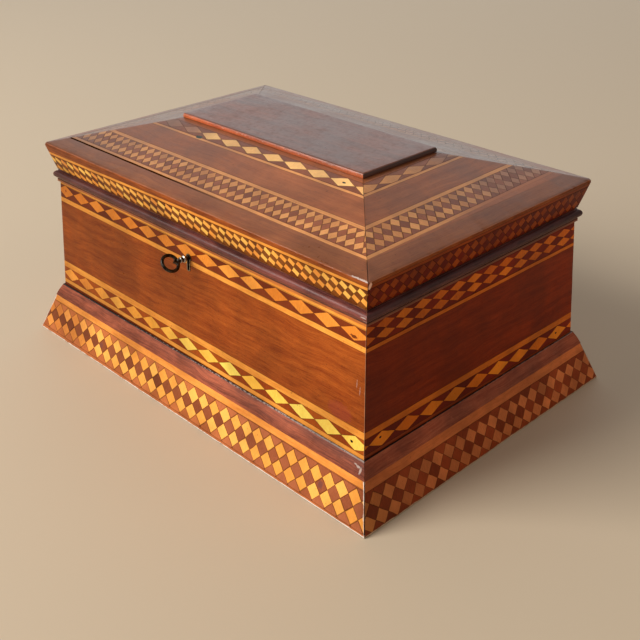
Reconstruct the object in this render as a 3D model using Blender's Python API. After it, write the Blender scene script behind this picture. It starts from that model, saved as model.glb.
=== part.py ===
"""A marquetry box: splayed plinth, leaning case, hipped lid with a raised panel, front lock and key.

Sizes are metres. The origin is the middle of the underside, +X runs along the front, the front faces -Y
and +Z is up. The boards and mouldings go round the box as rings of four mitred pieces. A ring's section is
a list of points (out, z): out is the distance outwards from the outer face of the case at its foot.
"""
import math

import bmesh
import bpy
from mathutils import Matrix, Vector

# Clearances
FIT = 0.0003              # between pieces that touch
MITRE_SET_BACK = 0.0002   # taken off each board end, so that two boards leave a fine mitre joint
LID_JOINT = 0.0004        # between the case's top edge and the lid

# Plinth
PLINTH_HEIGHT = 0.0272
PLINTH_FLARE = 0.0160
PLINTH_TOP_OUT = 0.0055
PLINTH_ARRIS = 0.0008
SHOULDER_HEIGHT = 0.0089
SHOULDER_TURN = 0.46      # share of the moulding's height where it turns in towards the case
SHOULDER_TOP_FLAT = 0.0006

# Case
CASE_LENGTH = 0.300
CASE_WIDTH = 0.200
CASE_FACE_HEIGHT = 0.0794
CASE_LEAN = 0.0605
WALL_THICKNESS = 0.0100
WALL_FOOT_Z = 0.0030
FLOOR_THICKNESS = 0.0070
FLOOR_FOOT_Z = 0.0040

# Bead round the top of the case
BEAD_FILLET_HEIGHT = 0.0019
BEAD_FILLET_OUT = 0.0012
BEAD_QUIRK_OUT = 0.0007
BEAD_QUIRK_HEIGHT = 0.0006
BEAD_NOSE_RADIUS = 0.00265
BEAD_TOP_HEIGHT = 0.0006

# Lid
LID_EDGE_HEIGHT = 0.0189
LID_FOOT_OVERHANG = 0.0010
LID_FLARE = 0.0050
LID_RIM_ARRIS = 0.0006
LID_RISE_PER_RUN = 0.2535
LID_BOARD_THICKNESS = 0.0063
LID_LEDGE_WIDTH = 0.0030
PANEL_INSET = 0.0682
PANEL_HEIGHT = 0.0033
PANEL_OVERLAP = 0.0040
PANEL_PLUG_DEPTH = 0.0050
PANEL_FILLET_HEIGHT = 0.0009
PANEL_EDGE_OUT = 0.0015

# Hinges
HINGE_FROM_CASE_END = 0.0550
HINGE_LENGTH = 0.0360
HINGE_MIDDLE_KNUCKLE = 0.0130
HINGE_BARREL_RADIUS = 0.0022
HINGE_PIN_RADIUS = 0.0008
HINGE_STAND_OFF = 0.0036
HINGE_LEAF_MARGIN = 0.0020   # wood left between the leaf and the inner face
HINGE_LEAF_THICKNESS = 0.0010

# Lock, keyhole and key
KEY_X = -0.0015
KEYHOLE_BELOW_TOP = 0.0190
KEYHOLE_HEAD_RADIUS = 0.0026
KEYHOLE_SLOT_HALF_WIDTH = 0.0017
KEYHOLE_SLOT_DEPTH = 0.0090
LINER_WALL = 0.0006
LOCK_WOOD_FRONT = 0.0030
LOCK_HALF_LENGTH = 0.0250
LOCK_BELOW_KEY = 0.0100
SELVEDGE_HALF_LENGTH = 0.0310
SELVEDGE_THICKNESS = 0.0015
SELVEDGE_SET_BACK = 0.0020
LOCK_POCKET_RADIUS = 0.0055
LOCK_POCKET_DEPTH = 0.0048
STAPLE_SPACING = 0.0170
STAPLE_LENGTH = 0.0050
STAPLE_THICKNESS = 0.0024
STAPLE_DROP = 0.0066
STAPLE_PLAY = 0.0008
LINK_HALF_LENGTH = 0.0230
LINK_WIDTH = 0.0048
LINK_THICKNESS = 0.0012
KEY_TURN = math.radians(-44.6)
KEY_SHANK_RADIUS = 0.00145
KEY_BOW_DISTANCE = 0.0136
KEY_BOW_RADIUS = 0.0063
KEY_BOW_WIRE_RADIUS = 0.00105
KEY_WEB_SPREAD = math.radians(35)    # the web that joins bow and shank, seen from the ring's middle
KEY_WEB_TIP = 0.0018                 # its tip, from the ring's middle
KEY_WEB_ROOT = 0.0018
KEY_WEB_THICKNESS = 0.0017
KEY_BIT_REACH = 0.0048
KEY_BIT_LENGTH = 0.0030
KEY_BIT_THICKNESS = 0.0016
KEY_COLLARS = ((0.0036, 0.00235, 0.0011), (0.0062, 0.00190, 0.0009))

# Heights and faces that follow
CASE_FOOT_Z = PLINTH_HEIGHT + SHOULDER_HEIGHT
BEAD_FOOT_Z = CASE_FOOT_Z + CASE_FACE_HEIGHT
BEAD_HEIGHT = BEAD_FILLET_HEIGHT + BEAD_QUIRK_HEIGHT + 2 * BEAD_NOSE_RADIUS + BEAD_TOP_HEIGHT
CASE_TOP_Z = BEAD_FOOT_Z + BEAD_HEIGHT
KEYHOLE_Z = CASE_TOP_Z - KEYHOLE_BELOW_TOP
LID_FOOT_Z = CASE_TOP_Z + LID_JOINT
RIM_Z = LID_FOOT_Z + LID_EDGE_HEIGHT


def wall_out(z):
    """The outer face of the case, which leans inwards as it rises."""
    return (CASE_FOOT_Z - z) * CASE_LEAN


LID_FOOT_OUT = wall_out(CASE_TOP_Z) + LID_FOOT_OVERHANG
RIM_OUT = LID_FOOT_OUT + LID_FLARE
LID_INNER_OUT = wall_out(CASE_TOP_Z) - WALL_THICKNESS
LID_BORDER_OUT = LID_INNER_OUT + LID_LEDGE_WIDTH


def slope_z(out):
    """The upper surface of the hipped lid."""
    return RIM_Z + (RIM_OUT - out) * LID_RISE_PER_RUN


PANEL_FOOT_OUT = RIM_OUT - PANEL_INSET
PANEL_FOOT_Z = slope_z(PANEL_FOOT_OUT)
PANEL_PLUG_OUT = PANEL_FOOT_OUT - PANEL_OVERLAP

SIDES = ("front", "right", "back", "left")
LID_PIVOT_NAME = "lid_pivot"
QUARTER_TURN = math.pi / 2
ROUND_SIDES = 24
THIN_SIDES = 16
WIRE_SIDES = 10
RING_STEPS = 32
CURVE_STEPS = 6
SMOOTH_ANGLE = math.radians(35)

MAHOGANY = ("mahogany", (0.30, 0.105, 0.045), 0.42, 0.0)
PARQUETRY = ("lozenge parquetry", (0.52, 0.24, 0.085), 0.38, 0.0)
ROSEWOOD = ("rosewood", (0.115, 0.040, 0.032), 0.32, 0.0)
PALE_WOOD = ("pale carcase wood", (0.50, 0.34, 0.19), 0.62, 0.0)
BRASS = ("brass", (0.62, 0.46, 0.20), 0.38, 1.0)
IRON = ("dark iron", (0.055, 0.050, 0.047), 0.42, 1.0)


def clear_scene():
    for item in list(bpy.data.objects):
        bpy.data.objects.remove(item, do_unlink=True)


def finish_for(spec):
    name, colour, roughness, metallic = spec
    found = bpy.data.materials.get(name)
    if found:
        return found
    made = bpy.data.materials.new(name)
    made.use_nodes = True
    shader = made.node_tree.nodes["Principled BSDF"]
    shader.inputs["Base Color"].default_value = (*colour, 1.0)
    shader.inputs["Roughness"].default_value = roughness
    shader.inputs["Metallic"].default_value = metallic
    return made


def add_object(name, bm, spec, parent=None, turn=0.0, smooth=False):
    """Turn a bmesh in box coordinates into an object, kept there whatever its parent is."""
    bmesh.ops.recalc_face_normals(bm, faces=bm.faces)
    mesh = bpy.data.meshes.new(name)
    bm.to_mesh(mesh)
    bm.free()
    if smooth:
        mesh.shade_smooth()
        mesh.set_sharp_from_angle(angle=SMOOTH_ANGLE)
    item = bpy.data.objects.new(name, mesh)
    bpy.context.scene.collection.objects.link(item)
    if spec:
        mesh.materials.append(finish_for(spec))
    if parent:
        item.parent = parent
        if parent.name == LID_PIVOT_NAME:
            item.location = -Vector(parent.location)
    item.rotation_euler.z = turn
    return item


def add_guide(name, bm, parent=None):
    """A tool for a Boolean: it is not a piece of the box."""
    item = add_object(name, bm, None, parent)
    item.hide_render = True
    item.display_type = "WIRE"
    return item


def boolean(target, tool, operation="DIFFERENCE"):
    step = target.modifiers.new(f"{operation.lower()} {tool.name}", "BOOLEAN")
    step.operation = operation
    step.solver = "EXACT"
    step.object = tool


def side_halves(side):
    """Half the case's length along a side, and the distance from the middle out to that side."""
    if side in ("front", "back"):
        return CASE_LENGTH / 2, CASE_WIDTH / 2
    return CASE_WIDTH / 2, CASE_LENGTH / 2


def mitred_mesh(side, section):
    """A straight piece of a ring, modelled facing -Y, with both ends cut at 45 degrees."""
    half_run, half_depth = side_halves(side)
    bm = bmesh.new()
    end = [bm.verts.new((-(half_run + out - MITRE_SET_BACK), -(half_depth + out), z)) for out, z in section]
    cap = bm.faces.new(end)
    grown = bmesh.ops.extrude_face_region(bm, geom=[cap])
    far_end = [v for v in grown["geom"] if isinstance(v, bmesh.types.BMVert)]
    bmesh.ops.scale(bm, vec=(-1, 1, 1), verts=far_end)
    return bm


def mitred_ring(stem, section, spec, parent=None, smooth=False):
    ring = {}
    for number, side in enumerate(SIDES):
        bm = mitred_mesh(side, section)
        ring[side] = add_object(f"{stem}_{side}", bm, spec, parent, number * QUARTER_TURN, smooth)
    return ring


def box_mesh(low, high):
    bm = bmesh.new()
    middle = (Vector(low) + Vector(high)) / 2
    size = Vector(high) - Vector(low)
    place = Matrix.Translation(middle) @ Matrix.Diagonal((*size, 1.0))
    bmesh.ops.create_cube(bm, size=1.0, matrix=place)
    return bm


def rod_mesh(start, end, radius, sides=ROUND_SIDES):
    """A round bar between two points."""
    run = Vector(end) - Vector(start)
    turn = run.to_track_quat("Z", "Y").to_matrix().to_4x4()
    place = Matrix.Translation((Vector(start) + Vector(end)) / 2) @ turn
    bm = bmesh.new()
    bmesh.ops.create_cone(bm, cap_ends=True, segments=sides, radius1=radius, radius2=radius,
                          depth=run.length, matrix=place)
    return bm


def stacked_mesh(levels):
    """Rectangles (out, z) joined from the lowest to the highest, and closed at both ends."""
    bm = bmesh.new()
    signs = ((-1, -1), (1, -1), (1, 1), (-1, 1))
    loops = []
    for out, z in levels:
        half_x, half_y = CASE_LENGTH / 2 + out, CASE_WIDTH / 2 + out
        loops.append([bm.verts.new((sx * half_x, sy * half_y, z)) for sx, sy in signs])
    for lower, upper in zip(loops, loops[1:]):
        edges = []
        for loop in (lower, upper):
            for number in range(4):
                pair = (loop[number], loop[(number + 1) % 4])
                edges.append(bm.edges.get(pair) or bm.edges.new(pair))
        bmesh.ops.bridge_loops(bm, edges=edges)
    bm.faces.new(loops[0])
    bm.faces.new(loops[-1])
    return bm


def extruded_mesh(outline, start_x, end_x):
    """An outline of points (y, z) drawn out along X."""
    bm = bmesh.new()
    cap = bm.faces.new([bm.verts.new((start_x, y, z)) for y, z in outline])
    grown = bmesh.ops.extrude_face_region(bm, geom=[cap])
    far_end = [v for v in grown["geom"] if isinstance(v, bmesh.types.BMVert)]
    bmesh.ops.translate(bm, vec=(end_x - start_x, 0, 0), verts=far_end)
    return bm


def arc(centre, radius, start, end, steps):
    """Points on an arc, with its angles in degrees."""
    points = []
    for number in range(steps + 1):
        angle = math.radians(start + (end - start) * number / steps)
        points.append((centre[0] + radius * math.cos(angle), centre[1] + radius * math.sin(angle)))
    return points


def curved(start, control, end, steps):
    """A curve from start to end that sets off and arrives along the lines through control."""
    start, control, end = Vector(start), Vector(control), Vector(end)
    points = []
    for number in range(steps + 1):
        t = number / steps
        points.append(tuple(start * (1 - t) ** 2 + control * 2 * t * (1 - t) + end * t ** 2))
    return points


def rounded(before, corner, after, size, steps=3):
    """A corner of a section worn round over a length of size on each face."""
    corner = Vector(corner)
    start = corner + (Vector(before) - corner).normalized() * size
    end = corner + (Vector(after) - corner).normalized() * size
    return curved(start, corner, end, steps)


def make_plinth():
    """Four splayed boards that the box stands on, and the dark moulding on top of them."""
    foot_outer = (PLINTH_FLARE, 0.0)
    top_outer = (PLINTH_TOP_OUT, PLINTH_HEIGHT)
    foot_inner = (wall_out(0.0) + FIT, 0.0)
    section = rounded(foot_inner, foot_outer, top_outer, PLINTH_ARRIS)
    section += [top_outer, (wall_out(PLINTH_HEIGHT) + FIT, PLINTH_HEIGHT), foot_inner]
    mitred_ring("plinth_board", section, PARQUETRY)

    low_z = PLINTH_HEIGHT + FIT
    top_inner = (wall_out(CASE_FOOT_Z) + FIT, CASE_FOOT_Z)
    top_outer = (top_inner[0] + SHOULDER_TOP_FLAT, CASE_FOOT_Z)
    splay = (PLINTH_FLARE - PLINTH_TOP_OUT) / PLINTH_HEIGHT
    turn_up = SHOULDER_HEIGHT * SHOULDER_TURN
    control = (PLINTH_TOP_OUT - splay * turn_up, low_z + turn_up)
    section = curved((PLINTH_TOP_OUT, low_z), control, top_outer, CURVE_STEPS)
    section += [top_inner, (wall_out(low_z) + FIT, low_z)]
    mitred_ring("plinth_moulding", section, ROSEWOOD, smooth=True)


def make_case():
    """Four leaning walls and a floor board let in between them."""
    section = [(wall_out(z), z) for z in (WALL_FOOT_Z, CASE_TOP_Z)]
    section += [(wall_out(z) - WALL_THICKNESS, z) for z in (CASE_TOP_Z, WALL_FOOT_Z)]
    walls = mitred_ring("case_wall", section, MAHOGANY)

    floor_levels = []
    for z in (FLOOR_FOOT_Z, FLOOR_FOOT_Z + FLOOR_THICKNESS):
        floor_levels.append((wall_out(z) - WALL_THICKNESS - FIT, z))
    add_object("case_floor", stacked_mesh(floor_levels), PALE_WOOD)
    return walls


def make_bead():
    """The rounded moulding round the top of the case: a small fillet, a quirk and a bold nose."""
    fillet_top_z = BEAD_FOOT_Z + BEAD_FILLET_HEIGHT
    nose_z = fillet_top_z + BEAD_QUIRK_HEIGHT + BEAD_NOSE_RADIUS
    nose_out = wall_out(nose_z) + BEAD_QUIRK_OUT
    inner_foot = (wall_out(BEAD_FOOT_Z) + FIT, BEAD_FOOT_Z)
    outer_foot = (wall_out(BEAD_FOOT_Z) + BEAD_FILLET_OUT, BEAD_FOOT_Z)
    fillet_top = (outer_foot[0], fillet_top_z)
    section = [inner_foot] + rounded(inner_foot, outer_foot, fillet_top, BEAD_FILLET_OUT / 2)
    section += [fillet_top] + arc((nose_out, nose_z), BEAD_NOSE_RADIUS, -88, 90, 10)
    section += [(nose_out, CASE_TOP_Z), (wall_out(CASE_TOP_Z) + FIT, CASE_TOP_Z)]
    return mitred_ring("case_bead", section, ROSEWOOD, smooth=True)


def make_lid(pivot):
    """Undercut edge rails, four sloping boards that rest on their ledges, and the raised panel."""
    ledge_z = slope_z(LID_BORDER_OUT) - LID_BOARD_THICKNESS - FIT
    rail_foot = (LID_FOOT_OUT, LID_FOOT_Z)
    rail_top = (LID_BORDER_OUT, slope_z(LID_BORDER_OUT))
    section = [rail_foot] + rounded(rail_foot, (RIM_OUT, RIM_Z), rail_top, LID_RIM_ARRIS)
    section += [rail_top, (LID_BORDER_OUT, ledge_z), (LID_INNER_OUT, ledge_z), (LID_INNER_OUT, LID_FOOT_Z)]
    rails = mitred_ring("lid_edge", section, PARQUETRY, pivot)

    board_foot_z = ledge_z + FIT
    outer = LID_BORDER_OUT - FIT
    section = [(outer, slope_z(outer)), (PANEL_FOOT_OUT, PANEL_FOOT_Z), (PANEL_PLUG_OUT, PANEL_FOOT_Z)]
    section += [(out, slope_z(out) - LID_BOARD_THICKNESS) for out in (PANEL_PLUG_OUT, LID_INNER_OUT)]
    section += [(LID_INNER_OUT, board_foot_z), (outer, board_foot_z)]
    mitred_ring("lid_slope", section, MAHOGANY, pivot)

    foot_z = PANEL_FOOT_Z + FIT
    top_z = PANEL_FOOT_Z + PANEL_HEIGHT
    plug_out = PANEL_PLUG_OUT - FIT
    levels = [(plug_out, PANEL_FOOT_Z - PANEL_PLUG_DEPTH), (plug_out, foot_z), (PANEL_FOOT_OUT, foot_z)]
    levels += curved((PANEL_FOOT_OUT, foot_z + PANEL_FILLET_HEIGHT), (PANEL_FOOT_OUT, top_z),
                     (PANEL_FOOT_OUT - PANEL_EDGE_OUT, top_z), CURVE_STEPS)
    add_object("lid_panel", stacked_mesh(levels), MAHOGANY, pivot)
    return rails


def leaf_back(axis_y):
    """Where a leaf's inner edge lies on the wall's top edge."""
    return axis_y - HINGE_STAND_OFF - (WALL_THICKNESS - HINGE_LEAF_MARGIN)


def leaf_outline(axis_y, axis_z, side):
    """Section of a leaf rolled into its barrel; side is -1 for the case's leaf and 1 for the lid's."""
    near = side * (LID_JOINT / 2 + FIT / 2)
    far = near + side * HINGE_LEAF_THICKNESS
    r = HINGE_BARREL_RADIUS
    start = math.degrees(math.atan2(far, -math.sqrt(r * r - far * far))) % 360
    end = math.degrees(math.atan2(near, -math.sqrt(r * r - near * near))) % 360
    if side < 0:
        end += 360
    else:
        end -= 360
    back_y = leaf_back(axis_y)
    points = arc((axis_y, axis_z), r, start, end, ROUND_SIDES)
    return points + [(back_y, axis_z + near), (back_y, axis_z + far)]


def make_hinges(pivot, wall, rail, bead):
    """Two brass butt hinges let into the back of the case and of the lid, with their barrels outside."""
    axis_y, axis_z = pivot.location.y, pivot.location.z
    leaf_back_y = leaf_back(axis_y)
    leaf_depth = LID_JOINT / 2 + FIT / 2 + HINGE_LEAF_THICKNESS
    half = HINGE_LENGTH / 2
    gap_radius = HINGE_BARREL_RADIUS + FIT

    def rod(low_x, high_x, radius, sides=ROUND_SIDES):
        return rod_mesh((low_x, axis_y, axis_z), (high_x, axis_y, axis_z), radius, sides)

    from_middle = CASE_LENGTH / 2 - HINGE_FROM_CASE_END
    for hand, centre_x in (("left", -from_middle), ("right", from_middle)):
        start_x, end_x = centre_x - half, centre_x + half
        far_start_x, far_end_x = start_x - half, end_x + half
        middle = (centre_x - HINGE_MIDDLE_KNUCKLE / 2, centre_x + HINGE_MIDDLE_KNUCKLE / 2)
        case_mesh = extruded_mesh(leaf_outline(axis_y, axis_z, -1), start_x, end_x)
        lid_mesh = extruded_mesh(leaf_outline(axis_y, axis_z, 1), start_x, end_x)
        case_leaf = add_object(f"hinge_{hand}_case_leaf", case_mesh, BRASS)
        lid_leaf = add_object(f"hinge_{hand}_lid_leaf", lid_mesh, BRASS, pivot)
        pin_mesh = rod(start_x, end_x, HINGE_PIN_RADIUS, THIN_SIDES)
        add_object(f"hinge_{hand}_pin", pin_mesh, BRASS, smooth=True)

        bore_mesh = rod(far_start_x, far_end_x, HINGE_PIN_RADIUS + FIT, THIN_SIDES)
        bore = add_guide(f"guide_{hand}_bore", bore_mesh)
        boolean(case_leaf, bore)
        boolean(lid_leaf, bore)
        middle_room = rod(middle[0] - FIT, middle[1] + FIT, gap_radius)
        boolean(case_leaf, add_guide(f"guide_{hand}_middle", middle_room))
        boolean(lid_leaf, add_guide(f"guide_{hand}_start", rod(far_start_x, middle[0], gap_radius)))
        boolean(lid_leaf, add_guide(f"guide_{hand}_end", rod(middle[1], far_end_x, gap_radius)))

        low = (start_x - FIT, leaf_back_y - FIT, axis_z - leaf_depth - FIT)
        high = (end_x + FIT, axis_y + gap_radius + FIT, axis_z + leaf_depth + FIT)
        recess = add_guide(f"guide_{hand}_recess", box_mesh(low, high))
        boolean(wall, recess)
        boolean(rail, recess)
        low = (start_x - FIT, leaf_back_y, axis_z - gap_radius - FIT)
        high = (end_x + FIT, axis_y + gap_radius + FIT, axis_z + gap_radius)
        boolean(bead, add_guide(f"guide_{hand}_notch", box_mesh(low, high)))


def keyhole_outline(shrink):
    """A round head over a slot, centred on the key's axis, as points (x, z)."""
    r = KEYHOLE_HEAD_RADIUS - shrink
    half = KEYHOLE_SLOT_HALF_WIDTH - shrink
    meet = math.degrees(math.asin(half / r))
    points = arc((0.0, 0.0), r, meet - 90, 270 - meet, 18)
    slot_end = arc((0.0, -(KEYHOLE_SLOT_DEPTH - shrink - half)), half, 180, 360, 6)
    return points + slot_end


def keyhole_mesh(shrink, start_y, end_y):
    bm = bmesh.new()
    cap = bm.faces.new([bm.verts.new((x, start_y, z)) for x, z in keyhole_outline(shrink)])
    grown = bmesh.ops.extrude_face_region(bm, geom=[cap])
    far_end = [v for v in grown["geom"] if isinstance(v, bmesh.types.BMVert)]
    bmesh.ops.translate(bm, vec=(0, end_y - start_y, 0), verts=far_end)
    return bm


def make_lock(pivot, wall, rail):
    """A brass box lock let into the front wall, its link plate, the keyhole's liner and the key.

    They hang on a frame that lies on the wall's outer face at the key's axis: +Y goes into the wood.
    """
    face_y = -(CASE_WIDTH / 2 + wall_out(KEYHOLE_Z))
    lean = math.atan(CASE_LEAN)
    frame = bpy.data.objects.new("lock_frame", None)
    bpy.context.scene.collection.objects.link(frame)
    frame.location = (KEY_X, face_y, KEYHOLE_Z)
    frame.rotation_euler.x = -lean

    wood = WALL_THICKNESS * math.cos(lean)
    deep = WALL_THICKNESS * 2
    top = (CASE_TOP_Z - KEYHOLE_Z) / math.cos(lean) - wood * math.tan(lean)
    front_y = LOCK_WOOD_FRONT + FIT
    back_y = wood - FIT
    plate_low = top - SELVEDGE_THICKNESS
    half_x, plate_half_x = LOCK_HALF_LENGTH, SELVEDGE_HALF_LENGTH

    body = box_mesh((-half_x, front_y, -LOCK_BELOW_KEY), (half_x, back_y, top))
    lock = add_object("lock", body, BRASS, frame)
    plate = box_mesh((-plate_half_x, SELVEDGE_SET_BACK + FIT, plate_low), (plate_half_x, back_y, top))
    boolean(lock, add_guide("guide_selvedge", plate, frame), "UNION")
    pocket = rod_mesh((0, front_y - FIT, 0), (0, front_y + LOCK_POCKET_DEPTH, 0), LOCK_POCKET_RADIUS)
    boolean(lock, add_guide("guide_key_pocket", pocket, frame))

    body_room = box_mesh((-half_x - FIT, LOCK_WOOD_FRONT, -LOCK_BELOW_KEY - FIT),
                         (half_x + FIT, deep, top + deep))
    plate_room = box_mesh((-plate_half_x - FIT, SELVEDGE_SET_BACK, plate_low - FIT),
                          (plate_half_x + FIT, deep, top + deep))
    boolean(wall, add_guide("guide_lock_mortise", body_room, frame))
    boolean(wall, add_guide("guide_selvedge_room", plate_room, frame))
    keyhole = keyhole_mesh(0.0, -deep, LOCK_WOOD_FRONT + FIT)
    boolean(wall, add_guide("guide_keyhole", keyhole, frame))

    liner_mesh = keyhole_mesh(FIT / 2, -FIT, LOCK_WOOD_FRONT - FIT)
    liner = add_object("keyhole_liner", liner_mesh, BRASS, frame)
    liner_hole = keyhole_mesh(FIT / 2 + LINER_WALL, -deep, deep)
    boolean(liner, add_guide("guide_liner_hole", liner_hole, frame))
    lock_middle_y = face_y + KEYHOLE_BELOW_TOP * CASE_LEAN + (front_y + back_y) / 2
    make_link_plate(pivot, lock, rail, lock_middle_y)
    make_key(frame)


def make_link_plate(pivot, lock, rail, middle_y):
    """The plate let into the lid over the lock, with two staples that drop into slots in the lock."""
    low_z = LID_FOOT_Z + FIT
    reach = WALL_THICKNESS * 2
    low = Vector((KEY_X - LINK_HALF_LENGTH, middle_y - LINK_WIDTH / 2, low_z))
    high = Vector((KEY_X + LINK_HALF_LENGTH, middle_y + LINK_WIDTH / 2, low_z + LINK_THICKNESS))
    link = add_object("lock_link_plate", box_mesh(low, high), BRASS, pivot)
    room = Vector((FIT, FIT, FIT))
    boolean(rail, add_guide("guide_link_room", box_mesh(low - room - Vector((0, 0, reach)), high + room)))

    half = Vector((STAPLE_LENGTH / 2, STAPLE_THICKNESS / 2, 0))
    play = Vector((STAPLE_PLAY, STAPLE_PLAY, STAPLE_PLAY))
    for hand, sign in (("left", -1), ("right", 1)):
        foot = Vector((KEY_X + sign * STAPLE_SPACING / 2, middle_y, low_z - STAPLE_DROP))
        head = foot + Vector((0, 0, STAPLE_DROP + FIT))
        staple = add_guide(f"guide_{hand}_staple", box_mesh(foot - half, head + half), pivot)
        boolean(link, staple, "UNION")
        slot = box_mesh(foot - half - play, head + half + play + Vector((0, 0, reach)))
        boolean(lock, add_guide(f"guide_{hand}_slot", slot))


def make_key(frame):
    """A small iron key standing in the lock, turned a little: ring bow, two collars, shank and bit."""
    bit_start = LOCK_WOOD_FRONT + 3 * FIT
    shank_end = bit_start + KEY_BIT_LENGTH + 2 * FIT
    ring_radius = KEY_BOW_RADIUS - KEY_BOW_WIRE_RADIUS
    shank_start = -(KEY_BOW_DISTANCE - ring_radius)
    shank = rod_mesh((0, shank_start, 0), (0, shank_end, 0), KEY_SHANK_RADIUS, THIN_SIDES)
    key = add_object("key", shank, IRON, frame, smooth=True)

    bm = bmesh.new()
    circle = bmesh.ops.create_circle(bm, segments=WIRE_SIDES, radius=KEY_BOW_WIRE_RADIUS,
                                     matrix=Matrix.Translation((0, ring_radius, 0)))
    bmesh.ops.spin(bm, geom=circle["verts"] + bm.edges[:], cent=(0, 0, 0), axis=(1, 0, 0),
                   angle=2 * math.pi, steps=RING_STEPS, use_merge=True)
    bmesh.ops.translate(bm, vec=(0, -KEY_BOW_DISTANCE, 0), verts=bm.verts)
    parts = [("bow", bm)]

    wing_y, wing_z = ring_radius * math.cos(KEY_WEB_SPREAD), ring_radius * math.sin(KEY_WEB_SPREAD)
    root_y, root_z = ring_radius + FIT, KEY_WEB_ROOT / 2
    web = [(KEY_WEB_TIP, 0), (wing_y, wing_z), (root_y, root_z), (root_y, -root_z), (wing_y, -wing_z)]
    web = [(y - KEY_BOW_DISTANCE, z) for y, z in web]
    parts.append(("web", extruded_mesh(web, -KEY_WEB_THICKNESS / 2, KEY_WEB_THICKNESS / 2)))
    for number, (distance, radius, width) in enumerate(KEY_COLLARS):
        ends = [(0, -distance - width / 2, 0), (0, -distance + width / 2, 0)]
        parts.append((f"collar_{number}", rod_mesh(*ends, radius)))
    half = KEY_BIT_THICKNESS / 2
    bit = box_mesh((-half, bit_start, -KEY_BIT_REACH),
                   (half, bit_start + KEY_BIT_LENGTH, -KEY_SHANK_RADIUS / 2))
    parts.append(("bit", bit))
    for word, mesh in parts:
        boolean(key, add_guide(f"guide_key_{word}", mesh, key), "UNION")
    key.rotation_euler.y = KEY_TURN


def make_box():
    clear_scene()
    pivot = bpy.data.objects.new(LID_PIVOT_NAME, None)
    bpy.context.scene.collection.objects.link(pivot)
    wall_back_y = CASE_WIDTH / 2 + wall_out(CASE_TOP_Z)
    pivot.location = (0, wall_back_y + HINGE_STAND_OFF, CASE_TOP_Z + LID_JOINT / 2)
    make_plinth()
    walls = make_case()
    bead = make_bead()
    rails = make_lid(pivot)
    make_hinges(pivot, walls["back"], rails["back"], bead["back"])
    make_lock(pivot, walls["front"], rails["front"])


make_box()
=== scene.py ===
"""The looks of an old marquetry box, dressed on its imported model.

Everything is in metres in the model's own frame: the front faces -Y, +X runs along the front, +Z is up and
the origin is the middle of the underside. The boards go round the box in rings of four, so each ring is
drawn as a section of points (out, z), where out is measured from the foot of the case's outer face.
"""
import math

import bmesh
import bpy
from mathutils import Euler, Matrix, Vector, noise


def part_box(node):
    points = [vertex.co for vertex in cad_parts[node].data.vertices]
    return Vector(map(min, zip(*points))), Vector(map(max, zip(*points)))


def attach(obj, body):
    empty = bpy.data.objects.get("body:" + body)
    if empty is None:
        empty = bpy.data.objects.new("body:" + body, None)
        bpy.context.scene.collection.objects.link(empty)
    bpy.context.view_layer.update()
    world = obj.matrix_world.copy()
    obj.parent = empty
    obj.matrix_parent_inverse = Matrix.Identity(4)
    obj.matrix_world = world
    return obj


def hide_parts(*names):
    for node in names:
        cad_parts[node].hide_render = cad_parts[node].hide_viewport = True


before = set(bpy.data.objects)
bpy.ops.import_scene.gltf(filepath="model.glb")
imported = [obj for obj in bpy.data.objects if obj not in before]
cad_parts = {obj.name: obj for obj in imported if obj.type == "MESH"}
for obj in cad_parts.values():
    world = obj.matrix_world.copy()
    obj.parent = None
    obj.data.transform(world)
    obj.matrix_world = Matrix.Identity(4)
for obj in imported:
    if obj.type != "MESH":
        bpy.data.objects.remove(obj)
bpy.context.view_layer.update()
MM = 0.001


# The camera looks down on the near corner of the front and the right end.
# Its place and lens come from the lines of the box in the photograph.
camera_place = Vector((0.4388, -0.4150, 0.3583))
camera_azimuth, camera_elevation, camera_roll = (math.radians(a) for a in (45.669, 28.898, -0.297))
camera_data = bpy.data.cameras.new("camera")
camera_data.lens = 55.15
camera_data.sensor_width = 36.0
camera_data.clip_start = 0.01
camera = bpy.data.objects.new("camera", camera_data)
camera_turn = Euler((math.pi / 2 - camera_elevation, 0, camera_azimuth)).to_matrix()
camera_turn = camera_turn @ Matrix.Rotation(camera_roll, 3, "Z")
camera.matrix_world = Matrix.Translation(camera_place) @ camera_turn.to_4x4()
bpy.context.scene.collection.objects.link(camera)
bpy.context.scene.camera = camera


# The box stands on a plain pale floor, lit by a large soft window to the left of the front.
# A pale wall behind on the left gives the lid its sheen. The right end is in the shade, and a little warm.
def feed(tree, socket, value):
    """Link a value that is a socket, and set any other. A colour of three numbers is made opaque."""
    if isinstance(value, bpy.types.NodeSocket):
        tree.links.new(value, socket)
    elif isinstance(value, tuple) and len(value) == 3 and socket.type == "RGBA":
        socket.default_value = (*value, 1.0)
    else:
        socket.default_value = value


def wire(tree, node, **values):
    """Feed a node's inputs by name; an underscore in a name stands for a space."""
    for name, value in values.items():
        feed(tree, node.inputs[name.replace("_", " ")], value)
    return node


def add_node(tree, kind, inputs=None, **settings):
    """Place a node with its settings, and feed its inputs, which are named or numbered."""
    made = tree.nodes.new(kind)
    for name, value in settings.items():
        setattr(made, name, value)
    for name, value in (inputs or {}).items():
        feed(tree, made.inputs[name], value)
    return made


def start_finish(name, **values):
    """A material with a Principled BSDF, whose sockets take the values given by their names."""
    finish = bpy.data.materials.new(name)
    finish.use_nodes = True
    shader = finish.node_tree.nodes["Principled BSDF"]
    wire(finish.node_tree, shader, **values)
    return finish, finish.node_tree, shader


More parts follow.
